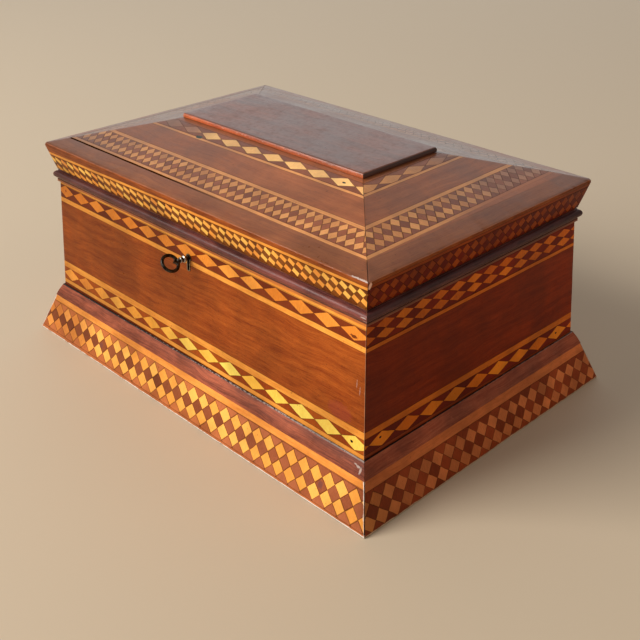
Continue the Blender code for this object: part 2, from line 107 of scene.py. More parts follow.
def soft_light(name, place, towards, size, power, colour):
    lamp = bpy.data.lights.new(name, "AREA")
    lamp.shape = "RECTANGLE"
    lamp.size, lamp.size_y = size
    lamp.energy = power
    lamp.color = colour
    lit = bpy.data.objects.new(name, lamp)
    aim = Vector(towards) - Vector(place)
    lit.matrix_world = Matrix.Translation(place) @ aim.to_track_quat("-Z", "Y").to_matrix().to_4x4()
    bpy.context.scene.collection.objects.link(lit)


floor_size = 8.0
bm = bmesh.new()
bmesh.ops.create_grid(bm, x_segments=1, y_segments=1, size=floor_size / 2)
floor_mesh = bpy.data.meshes.new("floor")
bm.to_mesh(floor_mesh)
bm.free()
floor = bpy.data.objects.new("floor", floor_mesh)
floor_finish = start_finish("pale floor", Base_Color=(0.62, 0.50, 0.36), Roughness=0.65)[0]
floor_mesh.materials.append(floor_finish)
bpy.context.scene.collection.objects.link(floor)

room = bpy.data.worlds.new("pale room")
room.use_nodes = True
wire(room.node_tree, room.node_tree.nodes["Background"], Color=(0.92, 0.90, 0.87), Strength=0.25)
bpy.context.scene.world = room
box_middle = (0.0, 0.0, 0.08)
soft_light("window", (-1.1, -1.9, 1.5), box_middle, (1.5, 1.3), 80.0, (1.0, 0.97, 0.92))
soft_light("pale_wall", (-1.3, 1.6, 0.85), (0.0, 0.0, 0.6), (3.2, 1.7), 11.5, (0.95, 0.98, 1.0))
soft_light("warm_room", (1.9, 0.9, 1.5), box_middle, (1.5, 1.2), 6.0, (1.0, 0.72, 0.46))
bpy.context.scene.view_settings.view_transform = "Standard"


# Plinth: four splayed boards, mitred at the corners, veneered with a lattice of light and dark lozenges and
# a line of stringing. Their lower arrises are worn pale; on the front, most of all at the near corner, they
# are painted nearly white, which is wear and a painted highlight. Each is planed to one section and cut to a
# mitre.
joint_fit = 0.3 * MM
mitre_set_back = 0.07 * MM
mitre_worn_width = 1.6 * MM
close_fit = 0.05 * MM
case_length, case_width = 0.300, 0.200
half_run_in_mm = case_length / 2 / MM
case_lean = 0.0605
mostly_facing = 0.6
sharp_angle = math.radians(38)
sides = ("front", "right", "back", "left")
plinth_top_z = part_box("plinth_board_front")[1].z
case_foot_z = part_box("plinth_moulding_front")[1].z
case_wall_foot_z, case_top_z = (corner.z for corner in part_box("case_wall_front"))
plinth_flare, plinth_top_out = 16.0 * MM, 5.5 * MM


def wall_out(z):
    """The outer face of the case, which leans inwards as it rises."""
    return (case_foot_z - z) * case_lean


def curve_between(start, control, end, steps):
    """A curve of section points that sets off and arrives along the lines through control."""
    start, control, end = Vector(start), Vector(control), Vector(end)
    shares = [step / steps for step in range(steps + 1)]
    return [tuple(start * (1 - t) ** 2 + control * 2 * t * (1 - t) + end * t * t) for t in shares]


def ease(section, arrises):
    """Round the corners numbered in arrises, each over its length. Gives points (out, z, wear).

    Beside each round arris stand two more points on either side, where the wear dies away.
    """
    eased = []
    for number, corner in enumerate(section):
        if number not in arrises:
            eased.append((*corner, 0.0))
            continue
        size = arrises[number]
        here = Vector(corner)
        before = (Vector(section[number - 1]) - here).normalized()
        after = (Vector(section[(number + 1) % len(section)]) - here).normalized()
        fading = ((3.0, 0.1), (1.8, 0.4))
        curve = curve_between(here + before * size, here, here + after * size, 4)
        eased += [(*(here + before * size * reach), wear) for reach, wear in fading]
        eased += [(*point, 1.0) for point in curve]
        eased += [(*(here + after * size * reach), wear) for reach, wear in reversed(fading)]
    return eased


def divide(section, step):
    """Add points to the long straight stretches of a section."""
    divided = []
    for here, after in zip(section, section[1:] + section[:1]):
        divided.append(here)
        parts = int((Vector(after[:2]) - Vector(here[:2])).length / step)
        for number in range(1, parts):
            share = number / parts
            divided.append(tuple(a + (b - a) * share for a, b in zip(here, after)))
    return divided


def side_halves(side):
    """Half the case's length along a side, and the distance from the middle out to that side."""
    halves = case_length / 2, case_width / 2
    return halves if side in ("front", "back") else halves[::-1]


def mitred_board(side, section, zero_at, cuts, mitre_wear):
    """A board of a ring, modelled facing -Y with its ends cut at 45 degrees.

    The layer across is the distance round the section from its corner nearest zero_at, and arris marks the
    worn edges. mitre_wear is how worn the left and the right mitre are.
    """
    half_side, half_depth = side_halves(side)
    bm = bmesh.new()
    across = bm.verts.layers.float.new("across")
    arris = bm.verts.layers.float.new("arris")
    reach = 0.0
    zero_reach = 0.0
    nearest = 1.0
    end = []
    for number, (out, z, wear) in enumerate(section):
        if number:
            reach += math.dist(section[number - 1][:2], (out, z))
        if math.dist(zero_at, (out, z)) < nearest:
            nearest, zero_reach = math.dist(zero_at, (out, z)), reach
        corner = bm.verts.new((-(half_side + out - mitre_set_back), -(half_depth + out), z))
        corner[across], corner[arris] = reach, wear
        end.append(corner)
    grown = bmesh.ops.extrude_face_region(bm, geom=[bm.faces.new(end)])
    far_end = [item for item in grown["geom"] if isinstance(item, bmesh.types.BMVert)]
    bmesh.ops.scale(bm, vec=(-1, 1, 1), verts=far_end)
    long_edges = [edge for edge in bm.edges if edge.verts[0].co.x * edge.verts[1].co.x < 0]
    bmesh.ops.subdivide_edges(bm, edges=long_edges, cuts=cuts)
    for vert in bm.verts:
        vert[across] -= zero_reach
        end_x = half_side - vert.co.y - half_depth - mitre_set_back
        share = vert.co.x / end_x
        vert.co.x = end_x * (0.25 * share + 0.75 * math.sin(share * math.pi / 2))
        from_mitre = end_x - abs(vert.co.x)
        vert[arris] = max(vert[arris], mitre_wear[vert.co.x > 0] - from_mitre / mitre_worn_width)
    bmesh.ops.recalc_face_normals(bm, faces=bm.faces)
    lay_out_veneer(bm)
    return bm


def lay_out_veneer(bm):
    """The UV map: along the board, and across it round the section, both in metres.

    Faces that look inwards or down aren't veneered. They take the second material, bare wood.
    """
    across = bm.verts.layers.float["across"]
    flat = bm.loops.layers.uv.new("veneer")
    bm.normal_update()
    for face in bm.faces:
        inwards, down = face.normal.y > mostly_facing, face.normal.z < -mostly_facing
        face.material_index = 1 if inwards or down else 0
        for loop in face.loops:
            spot = loop.vert.co
            loop[flat].uv = (spot.x, spot.z if inwards else spot.y if down else loop.vert[across])


def wear_board(bm, seed, depth):
    """Wear the arrises back unevenly with small dents, and let the faces swell a little as old boards do."""
    swell = 0.08 * MM
    uneven_scale, dent_scale, swell_scale = 90, 330, 22
    arris = bm.verts.layers.float["arris"]
    bm.normal_update()
    for vert in bm.verts:
        place = vert.co + Vector((seed * 0.7, 0, 0))
        uneven = 0.5 + 0.5 * noise.noise(place * uneven_scale)
        dent = max(0.0, noise.noise(place * dent_scale + Vector((0, seed, 0))) - 0.28)
        back = vert[arris] * depth * (0.3 + 0.9 * uneven + 3.0 * dent)
        vert.co -= vert.normal * back
        vert.co += vert.normal * swell * noise.noise(place * swell_scale)


def round_corners(bm, side, outline, top_z, radii):
    """Wear the outer corners of a board to balls that touch its top.

    outline is how far out the ring reaches, at the height top_z. The radii are for the left and the right.
    """
    half_side, half_depth = side_halves(side)
    for vert in bm.verts:
        radius = radii[0] if vert.co.x < 0 else radii[1]
        inset = outline - radius
        middle = Vector((half_side + inset, half_depth + inset, top_z - 0.78 * radius))
        spot = Vector((abs(vert.co.x), -vert.co.y, max(vert.co.z, middle.z))) - middle
        if min(spot.xy) > 0 and spot.length > radius:
            spot = spot.normalized() * radius + middle
            vert.co.x = math.copysign(spot.x, vert.co.x)
            vert.co.y = -spot.y
            vert.co.z = min(vert.co.z, spot.z)


def finish_piece(name, bm, finishes, body, slot, *nodes, turn=0):
    """Make the piece from its bmesh, give it its finishes, and let it ride for the nodes it stands for."""
    bmesh.ops.rotate(bm, cent=(0, 0, 0), matrix=Matrix.Rotation(turn * math.pi / 2, 3, "Z"), verts=bm.verts)
    mesh = bpy.data.meshes.new(name)
    bm.to_mesh(mesh)
    bm.free()
    mesh.shade_smooth()
    mesh.set_sharp_from_angle(angle=sharp_angle)
    for finish in finishes:
        mesh.materials.append(finish)
    piece = bpy.data.objects.new(name, mesh)
    bpy.context.scene.collection.objects.link(piece)
    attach(piece, body)
    if nodes:
        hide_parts(*nodes)
    return piece


def make_ring(label, section, zero_at, dress, seed, first, depth, body, slot, node, cuts=120, mitre=0.8,
              near_mitre=None, rim=None, dress_top=None):
    """Make the four boards of a ring. dress gives the finish of a board's veneered side from a seed.

    first numbers the boards for the noise that wears them, and depth is how deep the wear goes. near_mitre
    is the wear of the front board's right end. rim is where the outer corners are rounded, with the radii
    for each side, and what looks up there takes the finish that dress_top gives.
    """
    pieces = {}
    for turn, side in enumerate(sides):
        right_mitre = near_mitre if near_mitre and side == "front" else mitre
        bm = mitred_board(side, section, zero_at, cuts, (mitre, right_mitre))
        if rim:
            outline, top_z, radii = rim
            round_corners(bm, side, outline, top_z, radii[side])
            for face in bm.faces:
                if face.normal.z > mostly_facing:
                    face.material_index = 2
        wear_board(bm, turn + first, depth)
        finishes = [dress(side, seed + turn), bare_boards]
        if dress_top:
            finishes.append(dress_top(side, seed + 5.0 + turn))
        pieces[side] = finish_piece(f"{side}_{label}", bm, finishes, body, slot, f"{node}_{side}", turn=turn)
    return pieces


def new_group(name, inputs, outputs):
    """A shader node group whose inputs are numbers with the values given, or colours, or vectors."""
    group = bpy.data.node_groups.new(name, "ShaderNodeTree")
    for label, value in inputs.items():
        kind = "NodeSocketFloat"
        if isinstance(value, tuple):
            kind = "NodeSocketColor" if len(value) == 4 else "NodeSocketVector"
        socket = group.interface.new_socket(label, in_out="INPUT", socket_type=kind)
        socket.default_value = value
    for label, kind in outputs.items():
        group.interface.new_socket(label, in_out="OUTPUT", socket_type=f"NodeSocket{kind}")
    return group, group.nodes.new("NodeGroupInput").outputs, group.nodes.new("NodeGroupOutput")


def calc(tree, operation, *values, clamp=False):
    """A Math node on sockets or numbers; gives its result."""
    inputs = dict(enumerate(values))
    return add_node(tree, "ShaderNodeMath", inputs, operation=operation, use_clamp=clamp).outputs[0]


def times(tree, one, other):
    return calc(tree, "MULTIPLY", one, other)


def mix(tree, share, under, over, blend="MIX"):
    """Lay one colour over another."""
    inputs = {0: share, 6: under, 7: over}
    return add_node(tree, "ShaderNodeMix", inputs, data_type="RGBA", blend_type=blend).outputs[2]


def ramp(tree, value, low, high, to_low=0.0, to_high=1.0):
    """Map a range smoothly onto another."""
    inputs = dict(enumerate((value, low, high, to_low, to_high)))
    return add_node(tree, "ShaderNodeMapRange", inputs, interpolation_type="SMOOTHSTEP").outputs[0]


def put(tree, group, **values):
    """Place a node group and feed its inputs."""
    return wire(tree, add_node(tree, "ShaderNodeGroup", node_tree=group), **values).outputs


def fractal(tree, vector, scale, detail=3.0, roughness=0.5):
    inputs = {"Vector": vector, "Scale": scale, "Detail": detail, "Roughness": roughness}
    return add_node(tree, "ShaderNodeTexNoise", inputs).outputs["Fac"]


def joined(tree, x, y, z=0.0):
    return add_node(tree, "ShaderNodeCombineXYZ", dict(enumerate((x, y, z)))).outputs[0]


def parted(tree, kind, value):
    """The parts of a colour or of a vector."""
    return add_node(tree, f"ShaderNodeSeparate{kind}", {0: value}).outputs


# Grain: fine fibres along the wood, a broader figure, and short dark pores. Lengths are millimetres.
grain_group, grain_in, grain_out = new_group(
    "wood grain", {"Along": 0.0, "Across": 0.0, "Seed": 0.0, "Stretch": 14.0, "Size": 1.0},
    {"Fibre": "Float", "Figure": "Float", "Pores": "Float"})
tree = grain_group
sized_across = calc(tree, "DIVIDE", grain_in["Across"], grain_in["Size"])
sized_along = calc(tree, "DIVIDE", grain_in["Along"], grain_in["Size"])
seed = grain_in["Seed"]
bend_place = joined(tree, times(tree, sized_along, 0.02), times(tree, sized_across, 0.03), seed)
bend = fractal(tree, bend_place, 1.0, 2.0)
bent_across = calc(tree, "MULTIPLY_ADD", bend, 9.0, sized_across)
slow_along = calc(tree, "DIVIDE", sized_along, grain_in["Stretch"])
fibre = fractal(tree, joined(tree, slow_along, bent_across, seed), 1.5, 4.0, 0.65)
figure_place = joined(tree, times(tree, slow_along, 0.35), times(tree, bent_across, 0.22), seed)
figure = fractal(tree, figure_place, 1.0, 3.0, 0.6)
pore_place = joined(tree, times(tree, sized_along, 0.28), times(tree, bent_across, 3.2), seed)
pore = fractal(tree, pore_place, 1.0, 1.0)
wire(tree, grain_out, Fibre=ramp(tree, fibre, 0.34, 0.66), Figure=ramp(tree, figure, 0.32, 0.68),
     Pores=ramp(tree, pore, 0.60, 0.74))

# Lozenge lattice: light lozenges tip to tip in rows, a pitch apart; others fill the places between them.
# Row tells which row a piece is in: even rows hold the light ones, odd rows lie half a pitch along.
lattice_group, lattice_in, lattice_out = new_group(
    "lozenge lattice",
    {"Along": 0.0, "Across": 0.0, "Pitch": 10.0, "Row Height": 9.0, "Lean": 0.0, "Joint": 0.25, "Seed": 0.0},
    {"Row": "Float", "Joint": "Float", "Shade": "Float", "Other Shade": "Float"})
tree = lattice_group
lattice_place = joined(tree, lattice_in["Along"], lattice_in["Across"], lattice_in["Seed"])
unsteady = add_node(tree, "ShaderNodeTexNoise", {"Vector": lattice_place, "Scale": 0.11, "Detail": 1.0})
off_along, off_across = (calc(tree, "SUBTRACT", part, 0.5)
                         for part in parted(tree, "Color", unsteady.outputs["Color"])[:2])
hand_along = calc(tree, "MULTIPLY_ADD", off_along, 1.3, lattice_in["Along"])
hand_across = calc(tree, "MULTIPLY_ADD", off_across, 0.8, lattice_in["Across"])
leant = calc(tree, "SUBTRACT", hand_along, times(tree, lattice_in["Lean"], hand_across))
pitches = calc(tree, "DIVIDE", leant, lattice_in["Pitch"])
rows = calc(tree, "DIVIDE", hand_across, lattice_in["Row Height"])
rising = calc(tree, "ADD", pitches, rows)
falling = calc(tree, "SUBTRACT", pitches, rows)
rising_cell = calc(tree, "ROUND", rising)
falling_cell = calc(tree, "ROUND", falling)
off_rising, off_falling = (calc(tree, "ABSOLUTE", calc(tree, "SUBTRACT", value, middle))
                           for value, middle in ((rising, rising_cell), (falling, falling_cell)))
off_middle = calc(tree, "MAXIMUM", off_rising, off_falling)
steepness = calc(tree, "SQRT", calc(tree, "ADD", calc(tree, "POWER", lattice_in["Pitch"], -2.0),
                                    calc(tree, "POWER", lattice_in["Row Height"], -2.0)))
from_joint = calc(tree, "DIVIDE", calc(tree, "SUBTRACT", 0.5, off_middle), steepness)
cell_place = joined(tree, rising_cell, falling_cell, lattice_in["Seed"])
cell = add_node(tree, "ShaderNodeTexWhiteNoise", {"Vector": cell_place})
shade, other_shade, joint_shade = parted(tree, "Color", cell.outputs["Color"])[:3]
half_joint = times(tree, lattice_in["Joint"], calc(tree, "MULTIPLY_ADD", joint_shade, 0.9, 0.4))
wire(tree, lattice_out, Row=calc(tree, "SUBTRACT", rising_cell, falling_cell), Shade=shade,
     Other_Shade=other_shade, Joint=ramp(tree, from_joint, half_joint, times(tree, half_joint, 0.3)))

# Band: a strip of veneer between two lines along the board, with a fine dark joint on both.
band_group, band_in, band_out = new_group(
    "veneer band", {"Along": 0.0, "Across": 0.0, "Low": 0.0, "High": 1.0, "Seed": 0.0},
    {"Mask": "Float", "Joint": "Float"})
tree = band_group
waver = fractal(tree, joined(tree, times(tree, band_in["Along"], 0.05), 0.0, band_in["Seed"]), 1.0, 2.0)
true_across = calc(tree, "MULTIPLY_ADD", calc(tree, "SUBTRACT", waver, 0.5), 0.5, band_in["Across"])
above = calc(tree, "SUBTRACT", true_across, band_in["Low"])
below = calc(tree, "SUBTRACT", band_in["High"], true_across)
inside = calc(tree, "MINIMUM", above, below)
wire(tree, band_out, Mask=ramp(tree, inside, -0.08, 0.08),
     Joint=ramp(tree, calc(tree, "ABSOLUTE", inside), 0.28, 0.06))

# Mark: a hole, stain, chip or painted highlight, an uneven spot round a point on the board with its two half
# lengths.
mark_group, mark_in, mark_out = new_group(
    "mark", {"Along": 0.0, "Across": 0.0, "Long": 1.0, "High": 1.0, "Ragged": 0.4}, {"Mask": "Float"})
tree = mark_group
mark_long = calc(tree, "DIVIDE", mark_in["Along"], mark_in["Long"])
mark_high = calc(tree, "DIVIDE", mark_in["Across"], mark_in["High"])
mark_reach = calc(tree, "SQRT", calc(tree, "ADD", times(tree, mark_long, mark_long),
                                     times(tree, mark_high, mark_high)))
mark_noise = fractal(tree, joined(tree, mark_in["Along"], mark_in["Across"], mark_in["Long"]), 0.9, 3.0, 0.6)
mark_edge = calc(tree, "MULTIPLY_ADD", times(tree, calc(tree, "SUBTRACT", mark_noise, 0.5), 3.0),
                 mark_in["Ragged"], mark_reach)
wire(tree, mark_out, Mask=ramp(tree, mark_edge, 1.1, 0.85))


class Veneer:
    """The layers of a board's finish, from the ground wood up, in millimetres along and across the board."""

    def __init__(self, name, seed, **values):
        self.finish, self.tree, self.shader = start_finish(name, **values)
        self.shine = {label: values.get(label, usual)
                      for label, usual in (("Coat_Weight", 0.0), ("Specular_IOR_Level", 0.5))}
        self.seed = seed
        place = parted(self.tree, "XYZ", add_node(self.tree, "ShaderNodeUVMap", uv_map="veneer").outputs[0])
        self.along, self.square_across = (times(self.tree, part, 1 / MM) for part in place[:2])
        self.across = self.square_across
        self.colour = None
        self.joints = 0.0
        self.marks = []

    def tilt(self, rise, up=0.0, left_drop=0.0):
        """Lay what follows a little askew: it climbs to the right by rise, from up at the board's middle."""
        askew = calc(self.tree, "MULTIPLY_ADD", self.along, rise, up)
        if left_drop:
            left_of_middle = calc(self.tree, "MINIMUM", self.along, 0.0)
            askew = calc(self.tree, "MULTIPLY_ADD", left_of_middle, left_drop, askew)
        self.across = calc(self.tree, "SUBTRACT", self.square_across, askew)

    def wood(self, dark, light, seed=0.0, stretch=14.0, size=1.0, pores=0.35):
        """The colour of a sawn sheet of one wood."""
        tree = self.tree
        grain = put(tree, grain_group, Along=self.along, Across=self.across, Seed=self.seed + seed,
                    Stretch=stretch, Size=size)
        tone = calc(tree, "MULTIPLY_ADD", grain["Fibre"], 0.5, times(tree, grain["Figure"], 0.5))
        colour = mix(tree, tone, dark, light)
        darkened = tuple(0.45 * c for c in dark)
        return mix(tree, times(tree, grain["Pores"], pores), colour, darkened)

    def band(self, low, high, seed):
        return put(self.tree, band_group, Along=self.along, Across=self.across, Low=low, High=high,
                   Seed=self.seed + seed)

    def lay(self, colour, low, high, seed=0.0, joint=0.75):
        """Lay a strip of veneer over what is there, between two distances across the board."""
        tree = self.tree
        band = self.band(low, high, seed)
        self.colour = mix(tree, band["Mask"], self.colour, colour)
        self.joints = calc(tree, "MAXIMUM", self.joints, times(tree, band["Joint"], joint))
        return band["Mask"]

    def strip(self, woods, seed, low, high):
        """Lay a strip of one wood."""
        self.lay(self.wood(*woods, seed=seed), low, high)

    def gap(self, low, high, left=1.0, right=1.0):
        """Open a joint between two distances across the board; left and right are how dark it gets there."""
        tree = self.tree
        band = self.band(low, high, 0.0)
        depth = times(tree, band["Mask"], ramp(tree, self.along, -40.0, 80.0, left, right))
        self.joints = calc(tree, "MAXIMUM", self.joints, depth)

    def lozenges(self, light, between, edges, first, across_first, pitch, row_height, rows, low, high,
                 lean=0.0, joint=0.3, crowding=0.0, crowd_from=0.0, drift=0.0, light_left=None,
                 dark_left=None, seed=0.0):
        """Lay a band of lozenges. light, between and edges are pairs of colours that the pieces vary in.

        crowding packs them closer right of crowd_from; drift slides the upper row towards the left end.
        light_left is another pair for the light ones, with the range along the board where it gives way;
        dark_left is the same for between and edges.
        """
        tree = self.tree
        along = calc(tree, "SUBTRACT", self.along, first)
        across = calc(tree, "SUBTRACT", self.across, across_first)
        if crowding:
            beyond = calc(tree, "MAXIMUM", calc(tree, "SUBTRACT", self.along, crowd_from), 0.0)
            along = calc(tree, "MULTIPLY_ADD", beyond, crowding, along)
        if drift:
            from_right = calc(tree, "MULTIPLY_ADD", self.along, -drift, drift * half_run_in_mm)
            along = calc(tree, "MULTIPLY_ADD", across, from_right, along)
        cut = put(tree, lattice_group, Along=along, Across=across, Pitch=pitch, Row_Height=row_height,
                  Lean=lean, Joint=joint, Seed=self.seed + seed)
        grain_along = calc(tree, "MULTIPLY_ADD", cut["Other Shade"], 70.0, self.across)
        grain_across = calc(tree, "MULTIPLY_ADD", cut["Shade"], 50.0, self.along)
        grain = put(tree, grain_group, Along=grain_along, Across=grain_across, Seed=self.seed + seed,
                    Stretch=6.0, Size=0.7)
        fibre = calc(tree, "SUBTRACT", grain["Fibre"], 0.5)
        tone = calc(tree, "MULTIPLY_ADD", fibre, 0.5, cut["Shade"], clamp=True)
        odd = calc(tree, "MODULO", calc(tree, "ABSOLUTE", cut["Row"]), 2.0)
        is_light = calc(tree, "COMPARE", odd, 0.0, 0.1)
        in_rows = calc(tree, "COMPARE", cut["Row"], rows - 1.0, rows - 0.9)
        dark_tone = mix(tree, tone, *between)
        dark_tone = mix(tree, in_rows, mix(tree, tone, *edges), dark_tone)
        if dark_left:
            left_between, left_edges, start, end = dark_left
            left_tone = mix(tree, in_rows, mix(tree, tone, *left_edges), mix(tree, tone, *left_between))
            dark_tone = mix(tree, ramp(tree, self.along, start, end), left_tone, dark_tone)
        light_tone = mix(tree, tone, *light)
        if light_left:
            pair, start, end = light_left
            light_tone = mix(tree, ramp(tree, self.along, start, end), mix(tree, tone, *pair), light_tone)
        colour = mix(tree, times(tree, is_light, in_rows), dark_tone, light_tone)
        mask = self.lay(colour, low, high, seed)
        lines = times(tree, times(tree, cut["Joint"], mask), 0.8)
        self.joints = calc(tree, "MAXIMUM", self.joints, lines)

    def mark(self, colour, along, across, long, high, ragged=0.3, strength=1.0, hollow=0.0):
        """Note a hole, stain, chip or painted highlight round a point, to be laid over everything when the
        finish is closed.
        """
        self.marks.append((colour, along, across, long, high, ragged, strength, hollow))

    def streak(self, colour, low, high, strength=0.8, clear=0.5, gather=0.0, seed=0.0):
        """A broken line of dust, wear or a painted highlight along the board; gather is how much it thickens
        to the right.
        """
        tree = self.tree
        place = joined(tree, self.along, times(tree, self.across, 2.5), self.seed + seed)
        broken = fractal(tree, place, 0.45, 4.0, 0.65)
        broken = calc(tree, "MULTIPLY_ADD", self.along, gather * 0.2 / half_run_in_mm, broken)
        middle, half = (low + high) / 2, (high - low) / 2
        off = calc(tree, "ABSOLUTE", calc(tree, "SUBTRACT", self.across, middle))
        near = ramp(tree, off, half * 1.15, half * 0.55)
        amount = times(tree, near, ramp(tree, broken, clear, clear + 0.10, 0.0, strength))
        self.colour = mix(tree, amount, self.colour, colour)

    def polish(self, worn, glue=(0.040, 0.010, 0.003), wear=0.5, gloss=(0.27, 0.46), dirt=0.3, tone_along=None):
        """Close the layers with glue lines, old dirt, marks, worn arrises and an uneven polish.

        The last argument scales the colour from the board's left end to its right end, so that it is darker
        or lighter towards one end.
        """
        tree = self.tree
        spot = add_node(tree, "ShaderNodeTexCoord").outputs["Object"]
        cloud = fractal(tree, spot, 26.0, 4.0, 0.6)
        speck = fractal(tree, spot, 420.0, 2.0, 0.6)
        colour = mix(tree, times(tree, self.joints, 0.85), self.colour, glue)
        shade = ramp(tree, cloud, 0.30, 0.72, 1.0 - dirt, 1.0 + 0.5 * dirt)
        if tone_along:
            shade = times(tree, shade, ramp(tree, self.along, -140.0, 140.0, *tone_along))
        colour = mix(tree, 1.0, colour, joined(tree, shade, shade, shade), "MULTIPLY")
        colour = mix(tree, ramp(tree, speck, 0.68, 0.78, 0.0, 0.5), colour, glue)
        edge = add_node(tree, "ShaderNodeAttribute", attribute_name="arris").outputs["Fac"]
        edge_noise = fractal(tree, spot, 150.0, 4.0, 0.7)
        ragged = calc(tree, "MULTIPLY_ADD", edge_noise, 1.3, calc(tree, "SUBTRACT", edge, 1.0))
        rubbed = times(tree, ramp(tree, ragged, 0.30, 0.75), wear)
        colour = mix(tree, rubbed, colour, worn)
        hollows = 0.0
        for tint, along, across, long, high, ragged_edge, strength, hollow in self.marks:
            spread = put(tree, mark_group, Along=calc(tree, "SUBTRACT", self.along, along),
                         Across=calc(tree, "SUBTRACT", self.across, across), Long=long, High=high,
                         Ragged=ragged_edge)["Mask"]
            colour = mix(tree, times(tree, spread, strength), colour, tint)
            if hollow:
                hollows = calc(tree, "MAXIMUM", hollows, times(tree, spread, hollow))
        rough = calc(tree, "MULTIPLY_ADD", speck, 0.35, times(tree, cloud, 0.65))
        rough = calc(tree, "MULTIPLY_ADD", rubbed, 0.2, ramp(tree, rough, 0.3, 0.7, *gloss))
        height = calc(tree, "SUBTRACT", times(tree, cloud, 0.35), self.joints)
        height = calc(tree, "SUBTRACT", calc(tree, "MULTIPLY_ADD", speck, 0.25, height), hollows)
        bump = add_node(tree, "ShaderNodeBump", {"Strength": 0.35, "Distance": 0.15 * MM, "Height": height})
        wire(tree, self.shader, Base_Color=colour, Roughness=rough, Normal=bump.outputs[0])
        if self.joints:
            shine = {label: calc(tree, "MULTIPLY_ADD", self.joints, -0.9 * value, value, clamp=True)
                     for label, value in self.shine.items()}
            wire(tree, self.shader, **shine)
        return self.finish


# Bare wood: the sides of the boards that aren't veneered, browned with age and handling.
veneer = Veneer("bare boards", 5.0, Roughness=0.6)
veneer.colour = veneer.wood((0.17, 0.070, 0.030), (0.34, 0.165, 0.075), stretch=24.0, size=1.8)
bare_boards = veneer.polish((0.30, 0.16, 0.08), wear=0.3, gloss=(0.50, 0.68), dirt=0.2)

maple = ((0.86, 0.325, 0.052), (1.00, 0.455, 0.092))
mid_walnut = ((0.180, 0.042, 0.013), (0.320, 0.085, 0.028))
orange_padauk = ((0.380, 0.098, 0.025), (0.560, 0.165, 0.048))
rosy_walnut = ((0.235, 0.056, 0.020), (0.370, 0.105, 0.040))
rosy_padauk = ((0.300, 0.078, 0.027), (0.450, 0.132, 0.050))
tired_maple = ((0.62, 0.19, 0.035), (0.82, 0.31, 0.065))
# The plinth's right end takes darker, redder copies of the maple, the walnut and the boxwood: their own
# colours with painted shade.
shaded_right_maple = ((0.53, 0.145, 0.042), (0.78, 0.215, 0.062))
walnut = ((0.130, 0.022, 0.005), (0.240, 0.044, 0.010))
shaded_right_walnut = ((0.22, 0.032, 0.005), (0.38, 0.060, 0.012))
padauk = ((0.36, 0.070, 0.012), (0.54, 0.130, 0.024))
boxwood = ((0.68, 0.215, 0.035), (0.86, 0.33, 0.065))
shaded_right_boxwood = ((0.56, 0.135, 0.036), (0.74, 0.205, 0.055))
blue_black = (0.110, 0.050, 0.060)
bare_wood = (0.74, 0.50, 0.32)
worn_brown = (0.46, 0.155, 0.040)
# Pale worn wood. It is also laid as painted highlights: the glints on the moulding and the bead, a streak on
# the front rim, and the front plinth's arrises.
pale_wear_and_highlight = (0.85, 0.74, 0.66)
hole_black = (0.012, 0.006, 0.004)
low_gloss = {"Coat_Weight": 0.03, "Coat_Roughness": 0.2, "Specular_IOR_Level": 0.09}

plinth_slant = math.hypot(plinth_flare - plinth_top_out, plinth_top_z) / MM
plinth_lattice = {"front": (1.5, 8.3, 10.52, 10.4), "right": (5.0, 7.4, 10.45, 10.5),
                  "back": (2.0, 8.0, 10.4, 10.4), "left": (2.0, 8.0, 10.4, 10.4)}


def plinth_finish(side, seed):
    first, low_row, pitch, row_height = plinth_lattice[side]
    right, front = side == "right", side == "front"
    veneer = Veneer(f"plinth marquetry {side}", seed, **low_gloss)
    # On the right end the woods are darker, redder copies: painted shade on their own colours.
    veneer.colour = veneer.wood(*(shaded_right_walnut if right else orange_padauk if front else padauk), seed=1.0)
    light, between, edges, dark_left, tone_along = maple, walnut, padauk, None, None
    if right:
        veneer.tilt(0.0, -1.45)
        light, between, edges, tone_along = shaded_right_maple, shaded_right_walnut, shaded_right_walnut, (0.88, 1.2)
    elif front:
        veneer.tilt(-0.003)
        between, edges, tone_along = rosy_walnut, rosy_padauk, (0.97, 1.14)
        dark_left = mid_walnut, orange_padauk, 0, 80
    joint, crowding = (0.5, 0.057) if front else (0.3, 0.0)
    veneer.lozenges(light, between, edges, first, low_row, pitch, row_height, 2, 2.4, plinth_slant - 4.7,
                    lean=-0.13, joint=joint, crowding=crowding, crowd_from=50.0,
                    light_left=(tired_maple, -150, -70), dark_left=dark_left)
    line = veneer.wood(*(shaded_right_boxwood if right else boxwood), seed=2.0)
    veneer.tilt(0.0, -0.6 if right else 0.0)
    veneer.lay(line, plinth_slant - (5.6 if right else 4.6), plinth_slant + 1.0)
    veneer.streak(worn_brown, -0.2, 1.6, strength=0.8, clear=0.40)
    gather = 0.8 if front else -0.5 if right else 0.0
    # The pale line on the lower arris: wear, and on the front, where it thickens to the near corner, a
    # painted highlight.
    veneer.streak(pale_wear_and_highlight, -0.3, 0.9, strength=0.8, clear=0.48, gather=gather, seed=1.0)
    if front:
        veneer.mark(blue_black, 127.0, 13.4, 1.8, 2.4, ragged=0.6, strength=0.5)
        veneer.mark(blue_black, -91.0, 13.2, 1.8, 2.2, ragged=0.6, strength=0.4)
    # The front's worn arrises are painted nearly white: wear and a painted highlight.
    return veneer.polish(pale_wear_and_highlight if front else bare_wood, wear=0.8, tone_along=tone_along)


